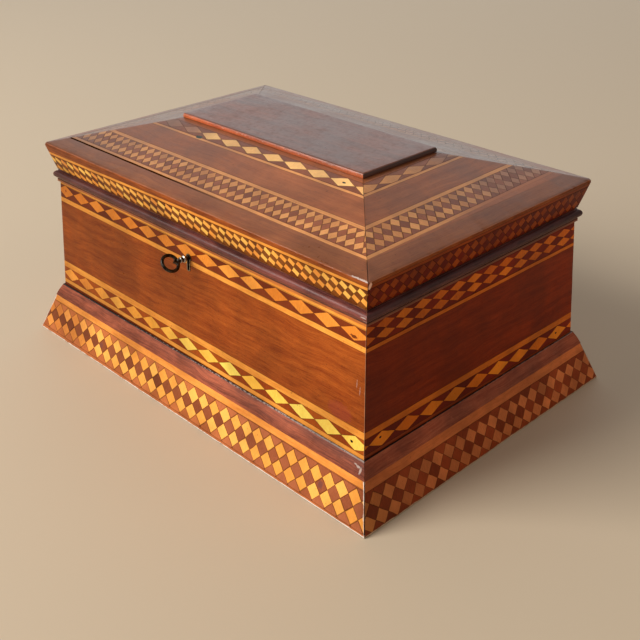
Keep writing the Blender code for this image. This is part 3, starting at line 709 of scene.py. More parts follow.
plinth_section = [(wall_out(0.0) + joint_fit, 0.0), (plinth_flare, 0.0), (plinth_top_out, plinth_top_z),
                  (wall_out(plinth_top_z) + joint_fit, plinth_top_z)]
plinth_eased = divide(ease(plinth_section, {1: 0.9 * MM}), 7 * MM)
make_ring("plinth_board", plinth_eased, (plinth_flare, 0.0), plinth_finish, 10.0, 1, 0.35 * MM, "case",
          "lozenge_parquetry", "plinth_board", mitre=1.15, near_mitre=1.55)


# Plinth moulding: dark rounded lengths of rosewood that turn in from the plinth's splay to the leaning case.
# Polished, rubbed red-brown on the swell and at the corners, with pale dust caught at the foot of the case.
# On the front, near the near corner, a few pale glints on the swell are painted highlights.
rosewood = ((0.115, 0.020, 0.009), (0.460, 0.110, 0.046))
red_rosewood = ((0.25, 0.036, 0.009), (0.44, 0.110, 0.045))
rosewood_rubbed = (0.48, 0.15, 0.080)
dust_grey = (0.46, 0.34, 0.30)
gap_dark = (0.015, 0.006, 0.005)
moulding_low_z = plinth_top_z + close_fit
moulding_top_flat = 0.6 * MM
moulding_turn = 0.46
moulding_steps = 14


def dark_wood_finish(name, seed, wear, woods, foot_line=None, dusty=0.0, glints=(), fillet=None, tone_along=None):
    veneer = Veneer(name, seed, Coat_Weight=0.06, Coat_Roughness=0.22, Specular_IOR_Level=0.22)
    veneer.colour = veneer.wood(*woods, stretch=22.0, pores=0.5)
    if fillet:
        veneer.strip(fillet, 1.0, -2.0, 1.6)
    if foot_line:
        veneer.lay(gap_dark, foot_line - dusty, foot_line + 2.0, joint=0.0)
        veneer.streak(dust_grey, foot_line - 0.9, foot_line + 0.6, strength=dusty, clear=0.50, gather=0.8)
    # Glints are painted highlights: pale spots where the polish catches the window.
    for along, across, long, high in glints:
        veneer.mark(pale_wear_and_highlight, along, across, long, high, ragged=0.5, strength=0.4)
    return veneer.polish(rosewood_rubbed, wear=wear, gloss=(0.30, 0.50), dirt=0.4, tone_along=tone_along)


moulding_inner_top = (wall_out(case_foot_z) + joint_fit, case_foot_z)
moulding_outer_top = (moulding_inner_top[0] + moulding_top_flat, case_foot_z)
plinth_splay = (plinth_flare - plinth_top_out) / plinth_top_z
moulding_rise = (case_foot_z - moulding_low_z) * moulding_turn
moulding_control = (plinth_top_out - plinth_splay * moulding_rise, moulding_low_z + moulding_rise)
moulding_outer_foot = (plinth_top_out, moulding_low_z)
moulding_curve = curve_between(moulding_outer_foot, moulding_control, moulding_outer_top, moulding_steps)
moulding_girth = sum(math.dist(*pair) for pair in zip(moulding_curve, moulding_curve[1:])) / MM
moulding_section = [(wall_out(moulding_low_z) + joint_fit, moulding_low_z, 0.0)]
moulding_section += [(*point, 0.6 * math.sin(math.pi * number / moulding_steps))
                     for number, point in enumerate(moulding_curve)]
moulding_section += [(*moulding_inner_top, 0.0)]
# Painted highlights on the front length's swell near the near corner.
moulding_glints = ((150.6, 4.4, 0.7, 2.2), (148.3, 5.8, 1.5, 0.6), (146.2, 6.5, 1.1, 0.35))


def moulding_finish(side, seed):
    woods, dusty = (red_rosewood, 0.25) if side == "right" else (rosewood, 0.7)
    glints = moulding_glints if side == "front" else ()
    return dark_wood_finish(f"plinth moulding {side}", seed, 0.6, woods, moulding_girth, dusty, glints)


make_ring("plinth_moulding", moulding_section, moulding_outer_foot, moulding_finish, 20.0, 5, 0.12 * MM,
          "case", "rosewood_moulding", "plinth_moulding")


# Case: four leaning boards, veneered in mahogany with a band of lozenges between stringing at top and foot.
# The back is plain mahogany with one line of stringing at each band. Inside, the boards are bare.
wall_thickness = 10.0 * MM
bead_foot_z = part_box("case_bead_front")[0].z
face_height = (bead_foot_z - case_foot_z) * math.hypot(1, case_lean) / MM
mahogany = ((0.205, 0.030, 0.0025), (0.435, 0.100, 0.012))
# The right end's copies of the mahogany, the stringing, the maples and the ground are redder and mostly
# darker: their own colours with painted shade.
shaded_right_mahogany = ((0.190, 0.015, 0.001), (0.330, 0.036, 0.003))
stringing = ((0.74, 0.24, 0.030), (0.94, 0.40, 0.065))
shaded_right_stringing = ((0.64, 0.130, 0.008), (0.86, 0.210, 0.016))
orange_maple = ((0.68, 0.190, 0.018), (0.90, 0.34, 0.050))
brown_maple = ((0.74, 0.200, 0.022), (1.00, 0.38, 0.055))
golden_maple = ((0.98, 0.50, 0.058), (1.00, 0.76, 0.135))
shaded_right_band_maple = ((0.66, 0.120, 0.006), (0.92, 0.220, 0.014))
shaded_right_low_band_maple = ((0.90, 0.185, 0.008), (1.00, 0.290, 0.015))
dark_ground = ((0.130, 0.018, 0.003), (0.220, 0.036, 0.006))
brown_ground = ((0.260, 0.038, 0.003), (0.430, 0.086, 0.006))
shaded_right_ground = ((0.150, 0.009, 0.001), (0.260, 0.018, 0.002))
stain_red = (0.30, 0.040, 0.030)


def case_finish(side, seed):
    veneer = Veneer(f"case veneer {side}", seed, **low_gloss)
    # The right end takes the redder, darker copy of the mahogany: painted shade.
    ground_wood = shaded_right_mahogany if side == "right" else mahogany
    veneer.colour = veneer.wood(*ground_wood, stretch=26.0, size=0.7, pores=0.75)
    top, tone_along, line = face_height, None, stringing
    if side == "back":
        veneer.strip(line, 2.0, 15.0, 17.0)
        veneer.strip(line, 3.0, top - 14.0, top - 12.0)
    elif side == "front":
        tone_along = 0.70, 1.04
        veneer.tilt(-0.0047, 0.6)
        veneer.lozenges(orange_maple, dark_ground, dark_ground, -5.0, top - 6.2, 19.1, 8.5, 1, top - 11.4,
                        top - 1.6, joint=0.2, crowding=-0.056, crowd_from=-20.0, seed=4.0)
        veneer.strip(line, 5.0, top - 2.1, top + 0.6)
        veneer.strip(line, 6.0, top - 14.8, top - 11.3)
        veneer.tilt(-0.0085, -0.1)
        veneer.lozenges(golden_maple, brown_ground, brown_ground, -4.4, 9.8, 19.4, 9.3, 1, 4.9, 14.4,
                        joint=0.2, crowding=-0.078, light_left=(brown_maple, -150, 60), seed=7.0)
        veneer.strip(line, 8.0, 14.4, 19.1)
        veneer.strip(line, 9.0, 1.75, 5.0)
        veneer.strip(dark_ground, 9.5, -40.0, 1.75)
        veneer.mark(hole_black, 140.0, 9.6, 1.0, 0.8, ragged=0.5, hollow=1.0)
        veneer.mark(dark_ground[0], 137.0, top - 7.0, 2.4, 1.0, ragged=0.9, strength=0.9)
        veneer.mark(dark_ground[0], -138.6, top - 5.6, 0.9, 0.7, ragged=0.5, strength=0.8)
        veneer.mark(stain_red, 130.0, 24.0, 9.0, 5.5, ragged=0.4, strength=0.35)
        for along, across in ((141.2, 46.0), (143.6, 42.5)):
            veneer.mark(pale_wear_and_highlight, along, across, 0.35, 2.6, ragged=0.8, strength=0.18)
    else:
        right = side == "right"
        light, low_light, ground = orange_maple, brown_maple, dark_ground
        # The right end takes the redder, mostly darker copies of the woods: painted shade.
        if right:
            light, low_light, ground, line = shaded_right_band_maple, shaded_right_low_band_maple, shaded_right_ground, shaded_right_stringing
            tone_along = 0.66, 1.04
            veneer.tilt(-0.007, -0.25)
        veneer.lozenges(light, ground, ground, -6.2, top - 8.5, 14.95, 5.8, 2, top - 12.4, top + 0.5,
                        joint=0.2, seed=4.0)
        veneer.strip(line, 6.0, top - 15.0, top - 12.6)
        if right:
            veneer.tilt(-0.009)
        veneer.lozenges(low_light, ground, ground, -1.3, 7.6, 21.12, 9.3, 1, 2.8, 12.6, joint=0.2, seed=7.0)
        veneer.strip(line, 8.0, 12.5, 16.9)
        veneer.strip(shaded_right_walnut if right else line, 9.0, 0.3, 2.8)
        if right:
            veneer.mark(hole_black, -86.9, 8.8, 0.9, 0.7, ragged=0.4, hollow=1.0)
            veneer.mark(hole_black, 81.8, 7.8, 0.9, 0.7, ragged=0.4, hollow=1.0)
    return veneer.polish((0.56, 0.30, 0.18), wear=0.5, tone_along=tone_along)


case_section = [(wall_out(case_wall_foot_z) - wall_thickness, case_wall_foot_z),
                (wall_out(case_wall_foot_z), case_wall_foot_z),
                (wall_out(case_top_z), case_top_z), (wall_out(case_top_z) - wall_thickness, case_top_z)]
case_eased = divide(ease(case_section, {2: 0.3 * MM, 3: 0.4 * MM}), 8 * MM)
# The near corner's arris is worn further and painted paler: wear and a painted highlight.
case_pieces = make_ring("case_board", case_eased, (wall_out(case_foot_z), case_foot_z), case_finish, 30.0, 9,
                        0.25 * MM, "case", "mahogany_veneer", "case_wall", near_mitre=1.15)


# Bead: rounded lengths of dark moulding round the top of the case, with a small fillet and a quirk below.
# Polished rosewood, rubbed on the nose. The front length is painted lighter and redder, with a brown fillet
# and
# a few pale glints near the near corner: painted light and painted highlights. The other lengths are painted
# darker, with a dark fillet: painted shade. The back length is notched for the hinges.
bead_fillet_height, bead_fillet_out = 1.9 * MM, 1.2 * MM
bead_quirk_height, bead_quirk_out = 0.6 * MM, 0.7 * MM
bead_nose_radius = 2.65 * MM
bead_steps = 16
bead_fillet_top_z = bead_foot_z + bead_fillet_height
bead_nose_z = bead_fillet_top_z + bead_quirk_height + bead_nose_radius
bead_nose_out = wall_out(bead_nose_z) + bead_quirk_out
bead_inner_foot = (wall_out(bead_foot_z) + joint_fit, bead_foot_z)
bead_outer_foot = (wall_out(bead_foot_z) + bead_fillet_out, bead_foot_z)
bead_fillet_top = (bead_outer_foot[0], bead_fillet_top_z)
bead_section = ease([bead_inner_foot, bead_outer_foot, bead_fillet_top], {1: 0.25 * MM})
for number in range(bead_steps + 1):
    angle = math.radians(-88 + 178 * number / bead_steps)
    rubbed = max(0.0, math.cos(angle - math.radians(20)))
    bead_section.append((bead_nose_out + bead_nose_radius * math.cos(angle),
                         bead_nose_z + bead_nose_radius * math.sin(angle), 0.55 * rubbed))
bead_section += [(bead_nose_out, case_top_z, 0.0), (wall_out(case_top_z) + joint_fit, case_top_z, 0.0)]
# One rosewood and one fillet, in a darker copy for the back, the left and the right (painted shade) and a
# lighter, redder copy for the front (painted light).
shaded_bead_rosewood = ((0.032, 0.010, 0.012), (0.120, 0.036, 0.034))
lit_bead_rosewood = ((0.055, 0.013, 0.012), (0.230, 0.060, 0.044))
# Painted highlights on the front length's nose near the near corner.
bead_glints = ((145.9, 2.9, 1.0, 0.4), (146.6, 5.3, 1.6, 0.5), (145.4, 7.4, 2.0, 0.35))
lit_bead_fillet = ((0.36, 0.095, 0.018), (0.54, 0.165, 0.035))
shaded_bead_fillet = ((0.150, 0.040, 0.016), (0.250, 0.075, 0.030))


def bead_finish(side, seed):
    if side == "front":
        return dark_wood_finish("bead front", seed, 0.25, lit_bead_rosewood, glints=bead_glints,
                                fillet=lit_bead_fillet, tone_along=(0.55, 1.15))
    return dark_wood_finish(f"bead {side}", seed, 0.2, shaded_bead_rosewood, fillet=shaded_bead_fillet)


bead_pieces = make_ring("bead", bead_section, bead_outer_foot, bead_finish, 40.0, 13, 0.10 * MM, "case",
                        "rosewood_moulding", "case_bead", mitre=1.1)


# Lid rails: four undercut boards that carry the lid, faced with two rows of small lozenges under a stringing
# and bordered on top with mahogany. The rim is worn dark, and its corners are round, the near one least.
lid_foot_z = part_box("lid_edge_front")[0].z
rim_z = lid_foot_z + 18.9 * MM
lid_foot_out = wall_out(case_top_z) + 1.0 * MM
rim_out = lid_foot_out + 5.0 * MM
lid_inner_out = wall_out(case_top_z) - wall_thickness
lid_border_out = lid_inner_out + 3.0 * MM
lid_rise = 0.2535
lid_board_thickness = 6.3 * MM
rim_corner_radii = {"front": (2.0 * MM, 0.6 * MM), "right": (0.6 * MM, 2.2 * MM),
                    "back": (2.2 * MM, 1.2 * MM), "left": (1.2 * MM, 2.0 * MM)}
edge_slant = math.hypot(rim_out - lid_foot_out, rim_z - lid_foot_z) / MM
rim_brown = ((0.130, 0.020, 0.003), (0.400, 0.095, 0.014))
rim_red = (0.42, 0.110, 0.030)
chip_pink = (0.95, 0.56, 0.42)
border_mahogany = ((0.238, 0.062, 0.019), (0.360, 0.116, 0.036))
# The back and the left borders take a darker copy of the mahogany: painted shade.
shaded_far_border = ((0.150, 0.034, 0.010), (0.290, 0.085, 0.026))
edge_maple = ((0.88, 0.30, 0.042), (1.00, 0.56, 0.110))
olive_ground = ((0.135, 0.030, 0.004), (0.260, 0.075, 0.009))
# The right end's undercut edge takes near-black copies of the maple and the ground: painted shade.
shaded_edge_maple = ((0.23, 0.032, 0.002), (0.36, 0.060, 0.004))
shaded_edge_ground = ((0.110, 0.005, 0.0005), (0.160, 0.010, 0.001))


def slope_z(out):
    """The upper surface of the hipped lid."""
    return rim_z + (rim_out - out) * lid_rise


def edge_finish(side, seed):
    """The undercut face of a rail."""
    veneer = Veneer(f"lid edge marquetry {side}", seed, **low_gloss)
    veneer.colour = veneer.wood(*rim_brown, seed=1.0)
    # The right edge, facing down into the shade, is painted near black: painted shade.
    if side == "right":
        veneer.lozenges(shaded_edge_maple, shaded_edge_ground, shaded_edge_ground, 3.0, 3.7, 7.3, 7.4, 2, -2.0, 14.8,
                        lean=-0.17, joint=0.3)
        veneer.strip(shaded_edge_maple, 2.0, 15.1, 17.2)
        veneer.mark(chip_pink, -98.4, edge_slant - 2.4, 1.1, 2.4, ragged=0.3, hollow=0.8)
        return veneer.polish(rim_red, wear=0.2)
    front = side == "front"
    if front:
        veneer.tilt(0.005, 0.2, left_drop=0.013)
    crowding, drift = (0.14, 0.0026) if front else (0.0, 0.0)
    veneer.lozenges(edge_maple, olive_ground, olive_ground, 3.3, 4.2, 7.2, 6.0, 2, -2.0, 13.0, lean=-0.17,
                    joint=0.3, crowding=crowding, crowd_from=30.0, drift=drift)
    veneer.strip(stringing, 2.0, 13.3, 15.6)
    return veneer.polish(rim_red, wear=0.3, tone_along=(0.76, 1.15) if front else None)


def border_finish(side, seed):
    """The top of a rail, outside the slopes."""
    front, right = side == "front", side == "right"
    veneer = Veneer(f"lid border {side}", seed, Coat_Weight=0.2 if right else 0.3, Coat_Roughness=0.2)
    # The back and the left take the darker copy: painted shade.
    woods = border_mahogany if front or right else shaded_far_border
    veneer.colour = veneer.wood(*woods, stretch=26.0, pores=0.55)
    if front:
        # A painted highlight: a thin pale streak on the rim near the near corner.
        veneer.mark(pale_wear_and_highlight, 146.0, edge_slant + 0.5, 7.0, 0.5, ragged=0.8, strength=0.6)
        veneer.gap(edge_slant + 12.6, edge_slant + 16.0, 1.15, 0.0)
    elif side == "left":
        veneer.gap(edge_slant + 12.4, edge_slant + 16.0)
    tone_along = (0.68, 0.98) if front else (0.85, 0.6) if right else None
    return veneer.polish(rim_red, wear=0.5 if front or right else 0.15, tone_along=tone_along)


ledge_z = slope_z(lid_border_out) - lid_board_thickness - joint_fit
rail_section = [(lid_foot_out, lid_foot_z), (rim_out, rim_z), (lid_border_out, slope_z(lid_border_out)),
                (lid_border_out, ledge_z), (lid_inner_out, ledge_z), (lid_inner_out, lid_foot_z)]
rail_eased = divide(ease(rail_section, {0: 0.3 * MM, 1: 0.7 * MM}), 6 * MM)
rail_pieces = make_ring("lid_rail", rail_eased, (lid_foot_out, lid_foot_z), edge_finish, 50.0, 17, 0.3 * MM,
                        "lid", "lozenge_parquetry", "lid_edge", cuts=160,
                        rim=(rim_out, rim_z, rim_corner_radii), dress_top=border_finish)


# Lid slopes: four thin boards that meet at the hips and rest on the rails' ledges. Two rows of small
# lozenges between stringing, a plain strip of mahogany, then a row of large lozenges round the panel.
panel_foot_out = rim_out - 68.2 * MM
panel_foot_z = slope_z(panel_foot_out)
panel_plug_out = panel_foot_out - 4.0 * MM
slope_field = ((0.255, 0.066, 0.018), (0.380, 0.114, 0.034))
slope_maple = ((0.50, 0.185, 0.050), (0.72, 0.310, 0.095))
grey_maple = ((0.30, 0.120, 0.060), (0.42, 0.180, 0.090))
cream_maple = ((0.74, 0.360, 0.110), (0.98, 0.560, 0.190))
slope_walnut = ((0.180, 0.044, 0.013), (0.310, 0.085, 0.030))
slope_line = ((0.56, 0.210, 0.060), (0.76, 0.320, 0.095))
# The back and the left slopes take darker copies of the field and the maple: painted shade.
shaded_far_field = ((0.120, 0.034, 0.014), (0.210, 0.070, 0.032))
shaded_far_maple = ((0.24, 0.095, 0.040), (0.34, 0.140, 0.060))
loss_green = (0.020, 0.028, 0.018)
slope_rows = {"front": (2.4, 6.85, 0.10, 0.0), "right": (-12.4, 7.15, 0.0, 1.7),
              "back": (0.0, 6.9, 0.0, 0.6), "left": (0.0, 7.1, 0.0, 0.6)}
large_lozenges = {"front": (-3.9, 19.45), "right": (3.0, 20.4), "back": (2.0, 19.5), "left": (0.0, 20.2)}


def slope_finish(side, seed):
    first, pitch, crowding, up = slope_rows[side]
    large_first, large_pitch = large_lozenges[side]
    front, right = side == "front", side == "right"
    field, light, line, ground = slope_field, slope_maple, slope_line, slope_walnut
    # The back and the left take the darker copies: painted shade.
    if not front and not right:
        field, light, line, ground = shaded_far_field, shaded_far_maple, shaded_far_maple, shaded_far_field
    coat = 0.24 if right else 0.3
    veneer = Veneer(f"lid slope marquetry {side}", seed, Coat_Weight=coat, Coat_Roughness=0.2)
    veneer.colour = veneer.wood(*field, stretch=26.0, pores=0.55)
    dulled = (slope_maple, -10.0, 50.0) if right else None
    if right:
        light = grey_maple
        veneer.tilt(0.019, -0.25)
    elif front:
        veneer.tilt(0.0, -0.45)
    low_line = veneer.wood(*line, seed=1.0)
    if right:
        low_line = mix(veneer.tree, ramp(veneer.tree, veneer.along, -35.0, 30.0), low_line, field[1])
    veneer.lay(low_line, up + 1.0, up + 3.5, joint=0.3 if right else 0.75)
    veneer.lozenges(light, ground, ground, first, up + 8.2, pitch, 8.3, 2, up + 3.5, up + 19.9, joint=0.4,
                    crowding=crowding, crowd_from=45.0, light_left=dulled, seed=2.0)
    veneer.strip(line, 3.0, up + 19.9, up + 22.8)
    if front:
        veneer.gap(-0.8, 1.3, 1.15, 0.0)
        veneer.tilt(0.005, -0.3)
    elif right:
        veneer.tilt(0.017, 0.3)
    veneer.strip(line, 4.0, up + 41.9, up + 44.1)
    if front:
        light, ground, dulled = cream_maple, slope_walnut, (grey_maple, -62.0, -38.0)
    veneer.lozenges(light, ground, ground, large_first, 49.1, large_pitch, 8.5, 1, up + 44.2, 53.6,
                    joint=0.25, light_left=dulled, seed=5.0)
    if front:
        veneer.mark(loss_green, -50.0, 44.4, 3.2, 1.5, ragged=0.4, hollow=1.0)
        veneer.mark(hole_black, 75.0, 48.9, 1.4, 0.6, ragged=0.5, hollow=1.0)
    if side == "left":
        veneer.gap(-0.8, 1.9)
    tone_along = (0.66, 1.22) if front else (0.95, 0.78) if right else None
    return veneer.polish((0.44, 0.20, 0.10), wear=0.3 if front or right else 0.1, tone_along=tone_along)


slope_outer = lid_border_out - close_fit
slope_foot = (slope_outer, slope_z(slope_outer))
slope_section = [slope_foot, (panel_foot_out, panel_foot_z), (panel_plug_out, panel_foot_z),
                 (panel_plug_out, slope_z(panel_plug_out) - lid_board_thickness),
                 (lid_inner_out, slope_z(lid_inner_out) - lid_board_thickness),
                 (lid_inner_out, ledge_z + joint_fit), (slope_outer, ledge_z + joint_fit)]
slope_divided = divide([(*corner, 0.0) for corner in slope_section], 8 * MM)
make_ring("lid_slope", slope_divided, slope_foot, slope_finish, 60.0, 21, 0.12 * MM, "lid",
          "mahogany_veneer", "lid_slope", cuts=90)


# Lid panel: one raised mahogany tablet plugged into the opening between the slopes.
# Polished, with a rounded upper edge that is rubbed dark and red-brown on the long sides.
# The end edges are painted nearly black: dark wood and painted shade.
panel_top_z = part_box("lid_panel")[1].z
panel_plug_foot_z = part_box("lid_panel")[0].z
panel_fillet = 0.9 * MM
panel_edge_out = 1.5 * MM
panel_wood = ((0.105, 0.028, 0.012), (0.215, 0.062, 0.028))
panel_red_edge = ((0.32, 0.045, 0.008), (0.62, 0.130, 0.026))
# The end edges' copy is nearly black: dark wood and painted shade.
panel_dark_shaded_edge = ((0.035, 0.010, 0.006), (0.110, 0.026, 0.014))
panel_seat_z = panel_foot_z + joint_fit
panel_plug_side = panel_plug_out - joint_fit
panel_levels = [(panel_plug_side, panel_plug_foot_z), (panel_plug_side, panel_seat_z),
                (panel_foot_out, panel_seat_z)]
panel_levels += curve_between((panel_foot_out, panel_seat_z + panel_fillet), (panel_foot_out, panel_top_z),
                              (panel_foot_out - panel_edge_out, panel_top_z), 8)
bm = bmesh.new()
bmesh.ops.create_grid(bm, x_segments=1, y_segments=1, size=1.0)
arris = bm.verts.layers.float.new("arris")
top = bm.faces[:]
for number, (out, z) in enumerate(panel_levels):
    if number:
        grown = bmesh.ops.extrude_face_region(bm, geom=top)["geom"]
        if number > 1:
            bmesh.ops.delete(bm, geom=top, context="FACES_ONLY")
        top = [item for item in grown if isinstance(item, bmesh.types.BMFace)]
    for vert in top[0].verts:
        vert.co = Vector((math.copysign(case_length / 2 + out, vert.co.x),
                          math.copysign(case_width / 2 + out, vert.co.y), z))
        vert[arris] = 0.7 if number > 4 else 0.0
bmesh.ops.recalc_face_normals(bm, faces=bm.faces)
long_enough = 30 * MM
level_edges = [edge for edge in bm.edges if edge.calc_length() > long_enough
               and math.isclose(edge.verts[0].co.z, edge.verts[1].co.z, abs_tol=0.001 * MM)]
bmesh.ops.subdivide_edges(bm, edges=level_edges, cuts=30, use_grid_fill=True)
wear_board(bm, 25, 0.15 * MM)
flat = bm.loops.layers.uv.new("veneer")
bm.normal_update()
for face in bm.faces:
    upright = abs(face.normal.z) < 0.5
    lengthways = abs(face.normal.y) > abs(face.normal.x)
    face.material_index = 1 if face.normal.z < -mostly_facing else 0
    if upright:
        face.material_index = 2 if lengthways else 3
    for loop in face.loops:
        spot = loop.vert.co
        if upright:
            loop[flat].uv = (spot.x if lengthways else spot.y, spot.z - panel_top_z)
        else:
            loop[flat].uv = (spot.x, spot.y)
veneer = Veneer("panel mahogany", 70.0, Coat_Weight=0.36, Coat_Roughness=0.18)
veneer.colour = veneer.wood(*panel_wood, stretch=26.0, size=1.6, pores=0.5)
panel_finishes = [veneer.polish((0.12, 0.035, 0.018), wear=0.7), bare_boards]
for name, woods, seed in (("long", panel_red_edge, 71.0), ("end", panel_dark_shaded_edge, 72.0)):
    veneer = Veneer(f"panel {name} edge", seed, Coat_Weight=0.2, Coat_Roughness=0.18)
    veneer.colour = veneer.wood(*woods, stretch=26.0, pores=0.5)
    if name == "long":
        veneer.streak((0.62, 0.34, 0.25), -1.9, -1.1, strength=0.6, clear=0.52)
    panel_finishes.append(veneer.polish((0.05, 0.014, 0.010), wear=0.9, tone_along=(1.15, 0.7)))
finish_piece("panel", bm, panel_finishes, "lid", "mahogany_veneer", "lid_panel")


# The inside: one floor board of pale softwood, fitted flat between the foot of the four case walls.
# It was never polished.
def dress_node(name, finish):
    """Give a node's own mesh its finish."""
    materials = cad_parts[name].data.materials
    materials.clear()
    materials.append(finish)


floor_wood, tree, shader = start_finish("bare softwood", Roughness=0.62)
spot = add_node(tree, "ShaderNodeTexCoord").outputs["Object"]
floor_along, floor_across = (times(tree, part, 1 / MM) for part in parted(tree, "XYZ", spot)[:2])
grain = put(tree, grain_group, Along=floor_along, Across=floor_across, Seed=80.0, Stretch=30.0, Size=2.5)
floor_tone = calc(tree, "MULTIPLY_ADD", grain["Fibre"], 0.4, times(tree, grain["Figure"], 0.6))
wire(tree, shader, Base_Color=mix(tree, floor_tone, (0.32, 0.18, 0.085), (0.52, 0.33, 0.17)))
dress_node("case_floor", floor_wood)


# Hinges: two brass butt hinges let into the top of the back and the foot of the lid, with their barrels out.
# Cast and filed brass, dulled brown, brighter in patches. Their recesses are chopped in the boards.
def metal_finish(name, dark, bright, gloss, scale):
    finish, tree, shader = start_finish(name, Metallic=1.0)
    spot = add_node(tree, "ShaderNodeTexCoord").outputs["Object"]
    cloud = fractal(tree, spot, scale, 5.0, 0.65)
    scratch = fractal(tree, spot, scale * 9, 2.0)
    colour = mix(tree, ramp(tree, cloud, 0.35, 0.65), dark, bright)
    rough = calc(tree, "MULTIPLY_ADD", scratch, 0.5, times(tree, cloud, 0.5))
    bump = add_node(tree, "ShaderNodeBump", {"Strength": 0.25, "Distance": 0.05 * MM, "Height": scratch})
    rough = ramp(tree, rough, 0.3, 0.7, *gloss)
    wire(tree, shader, Base_Color=colour, Roughness=rough, Normal=bump.outputs[0])
    return finish


def boolean_cut(piece, *cutters):
    """Cut closed bmeshes out of a piece, and keep the result as its mesh. The cut faces are bare wood."""
    tools = []
    for cutter in cutters:
        bmesh.ops.recalc_face_normals(cutter, faces=cutter.faces)
        for face in cutter.faces:
            face.material_index = 1
        mesh = bpy.data.meshes.new("cutter")
        cutter.to_mesh(mesh)
        cutter.free()
        tool = bpy.data.objects.new("cutter", mesh)
        bpy.context.scene.collection.objects.link(tool)
        step = piece.modifiers.new("cut", "BOOLEAN")
        step.operation, step.solver, step.object = "DIFFERENCE", "EXACT", tool
        tools.append(tool)
    bpy.context.view_layer.update()
    cut = bpy.data.meshes.new_from_object(piece.evaluated_get(bpy.context.evaluated_depsgraph_get()))
    piece.modifiers.clear()
    cut.set_sharp_from_angle(angle=sharp_angle)
    piece.data = cut
    for tool in tools:
        bpy.data.objects.remove(tool, do_unlink=True)


def add_block(bm, low, high, place=Matrix()):
    """Add the box between two corners to a bmesh."""
    low, high = Vector(low), Vector(high)
    size = Matrix.Translation((low + high) / 2) @ Matrix.Diagonal((*(high - low), 1.0))
    bmesh.ops.create_cube(bm, size=1.0, matrix=place @ size)
    return bm


brass_finish = metal_finish("dulled brass", (0.27, 0.17, 0.065), (0.56, 0.41, 0.18), (0.30, 0.55), 220.0)
beyond = 20.0 * MM
leaf_room, barrel_room = 1.65 * MM, 2.8 * MM
for hand in ("left", "right"):
    leaf_low, leaf_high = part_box(f"hinge_{hand}_case_leaf")
    pin_low, pin_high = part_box(f"hinge_{hand}_pin")
    axis_z = (pin_low.z + pin_high.z) / 2
    start_x, end_x = leaf_low.x - joint_fit, leaf_high.x + joint_fit
    for piece, back_y, reach in ((case_pieces["back"], leaf_low.y - joint_fit, leaf_room),
                                 (rail_pieces["back"], leaf_low.y - joint_fit, leaf_room),
                                 (bead_pieces["back"], leaf_low.y, barrel_room)):
        boolean_cut(piece, add_block(bmesh.new(), (start_x, back_y, axis_z - reach),
                                     (end_x, leaf_high.y + beyond, axis_z + reach)))
    for part in ("case_leaf", "lid_leaf", "pin"):
        dress_node(f"hinge_{hand}_{part}", brass_finish)


# Lock: a brass box lock let into the front board from behind, under a brass plate let into its top, and the
# link plate with two staples in the lid. The keyhole is cut through the veneer and lined with thin brass.
key_x = -1.5 * MM
keyhole_z = case_top_z - 19.0 * MM
keyhole_head, keyhole_slot, keyhole_depth = 2.6 * MM, 1.7 * MM, 9.0 * MM
lock_front, lock_half_length, lock_below = 3.0 * MM, 25.0 * MM, 10.0 * MM
plate_front, plate_half_length, plate_thickness = 2.0 * MM, 31.0 * MM, 1.5 * MM
lean = math.atan(case_lean)
lock_place = Matrix.Translation((key_x, -(case_width / 2 + wall_out(keyhole_z)), keyhole_z))
lock_place = lock_place @ Matrix.Rotation(-lean, 4, "X")
lock_top = (case_top_z - keyhole_z) / math.cos(lean) - wall_thickness * math.sin(lean)
lock_reach = lock_half_length + joint_fit
plate_reach = plate_half_length + joint_fit
lock_room = add_block(bmesh.new(), (-lock_reach, lock_front, -lock_below - joint_fit),
                      (lock_reach, beyond, lock_top + beyond), lock_place)
plate_room = add_block(bmesh.new(), (-plate_reach, plate_front, lock_top - plate_thickness - joint_fit),
                       (plate_reach, beyond, lock_top + beyond), lock_place)


def upright_rod(radius, z, start_y, end_y):
    """A rod along Y in the lock's own place, for the round ends of the keyhole."""
    bm = bmesh.new()
    turn = Matrix.Rotation(math.pi / 2, 4, "X")
    place = Matrix.Translation((0, (start_y + end_y) / 2, z)) @ turn
    bmesh.ops.create_cone(bm, cap_ends=True, segments=32, radius1=radius, radius2=radius,
                          depth=end_y - start_y, matrix=lock_place @ place)
    return bm


slot_end_z = keyhole_slot - keyhole_depth
keyhole_cuts = (upright_rod(keyhole_head, 0.0, -beyond, lock_front + joint_fit),
                upright_rod(keyhole_slot, slot_end_z, -beyond, lock_front + 1.1 * joint_fit),
                add_block(bmesh.new(), (-keyhole_slot, -beyond, slot_end_z),
                          (keyhole_slot, lock_front + 1.2 * joint_fit, 0.0), lock_place))
boolean_cut(case_pieces["front"], lock_room, plate_room, *keyhole_cuts)
link_low, link_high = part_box("lock_link_plate")
link_room = Vector((joint_fit,) * 3)
link_low = Vector((link_low.x, link_low.y, lid_foot_z - beyond))
boolean_cut(rail_pieces["front"], add_block(bmesh.new(), link_low - link_room, link_high + link_room))
liner_finish = metal_finish("tarnished brass", (0.10, 0.07, 0.045), (0.34, 0.27, 0.19), (0.25, 0.45), 300.0)
for part in ("lock", "lock_link_plate"):
    dress_node(part, brass_finish)
dress_node("keyhole_liner", liner_finish)


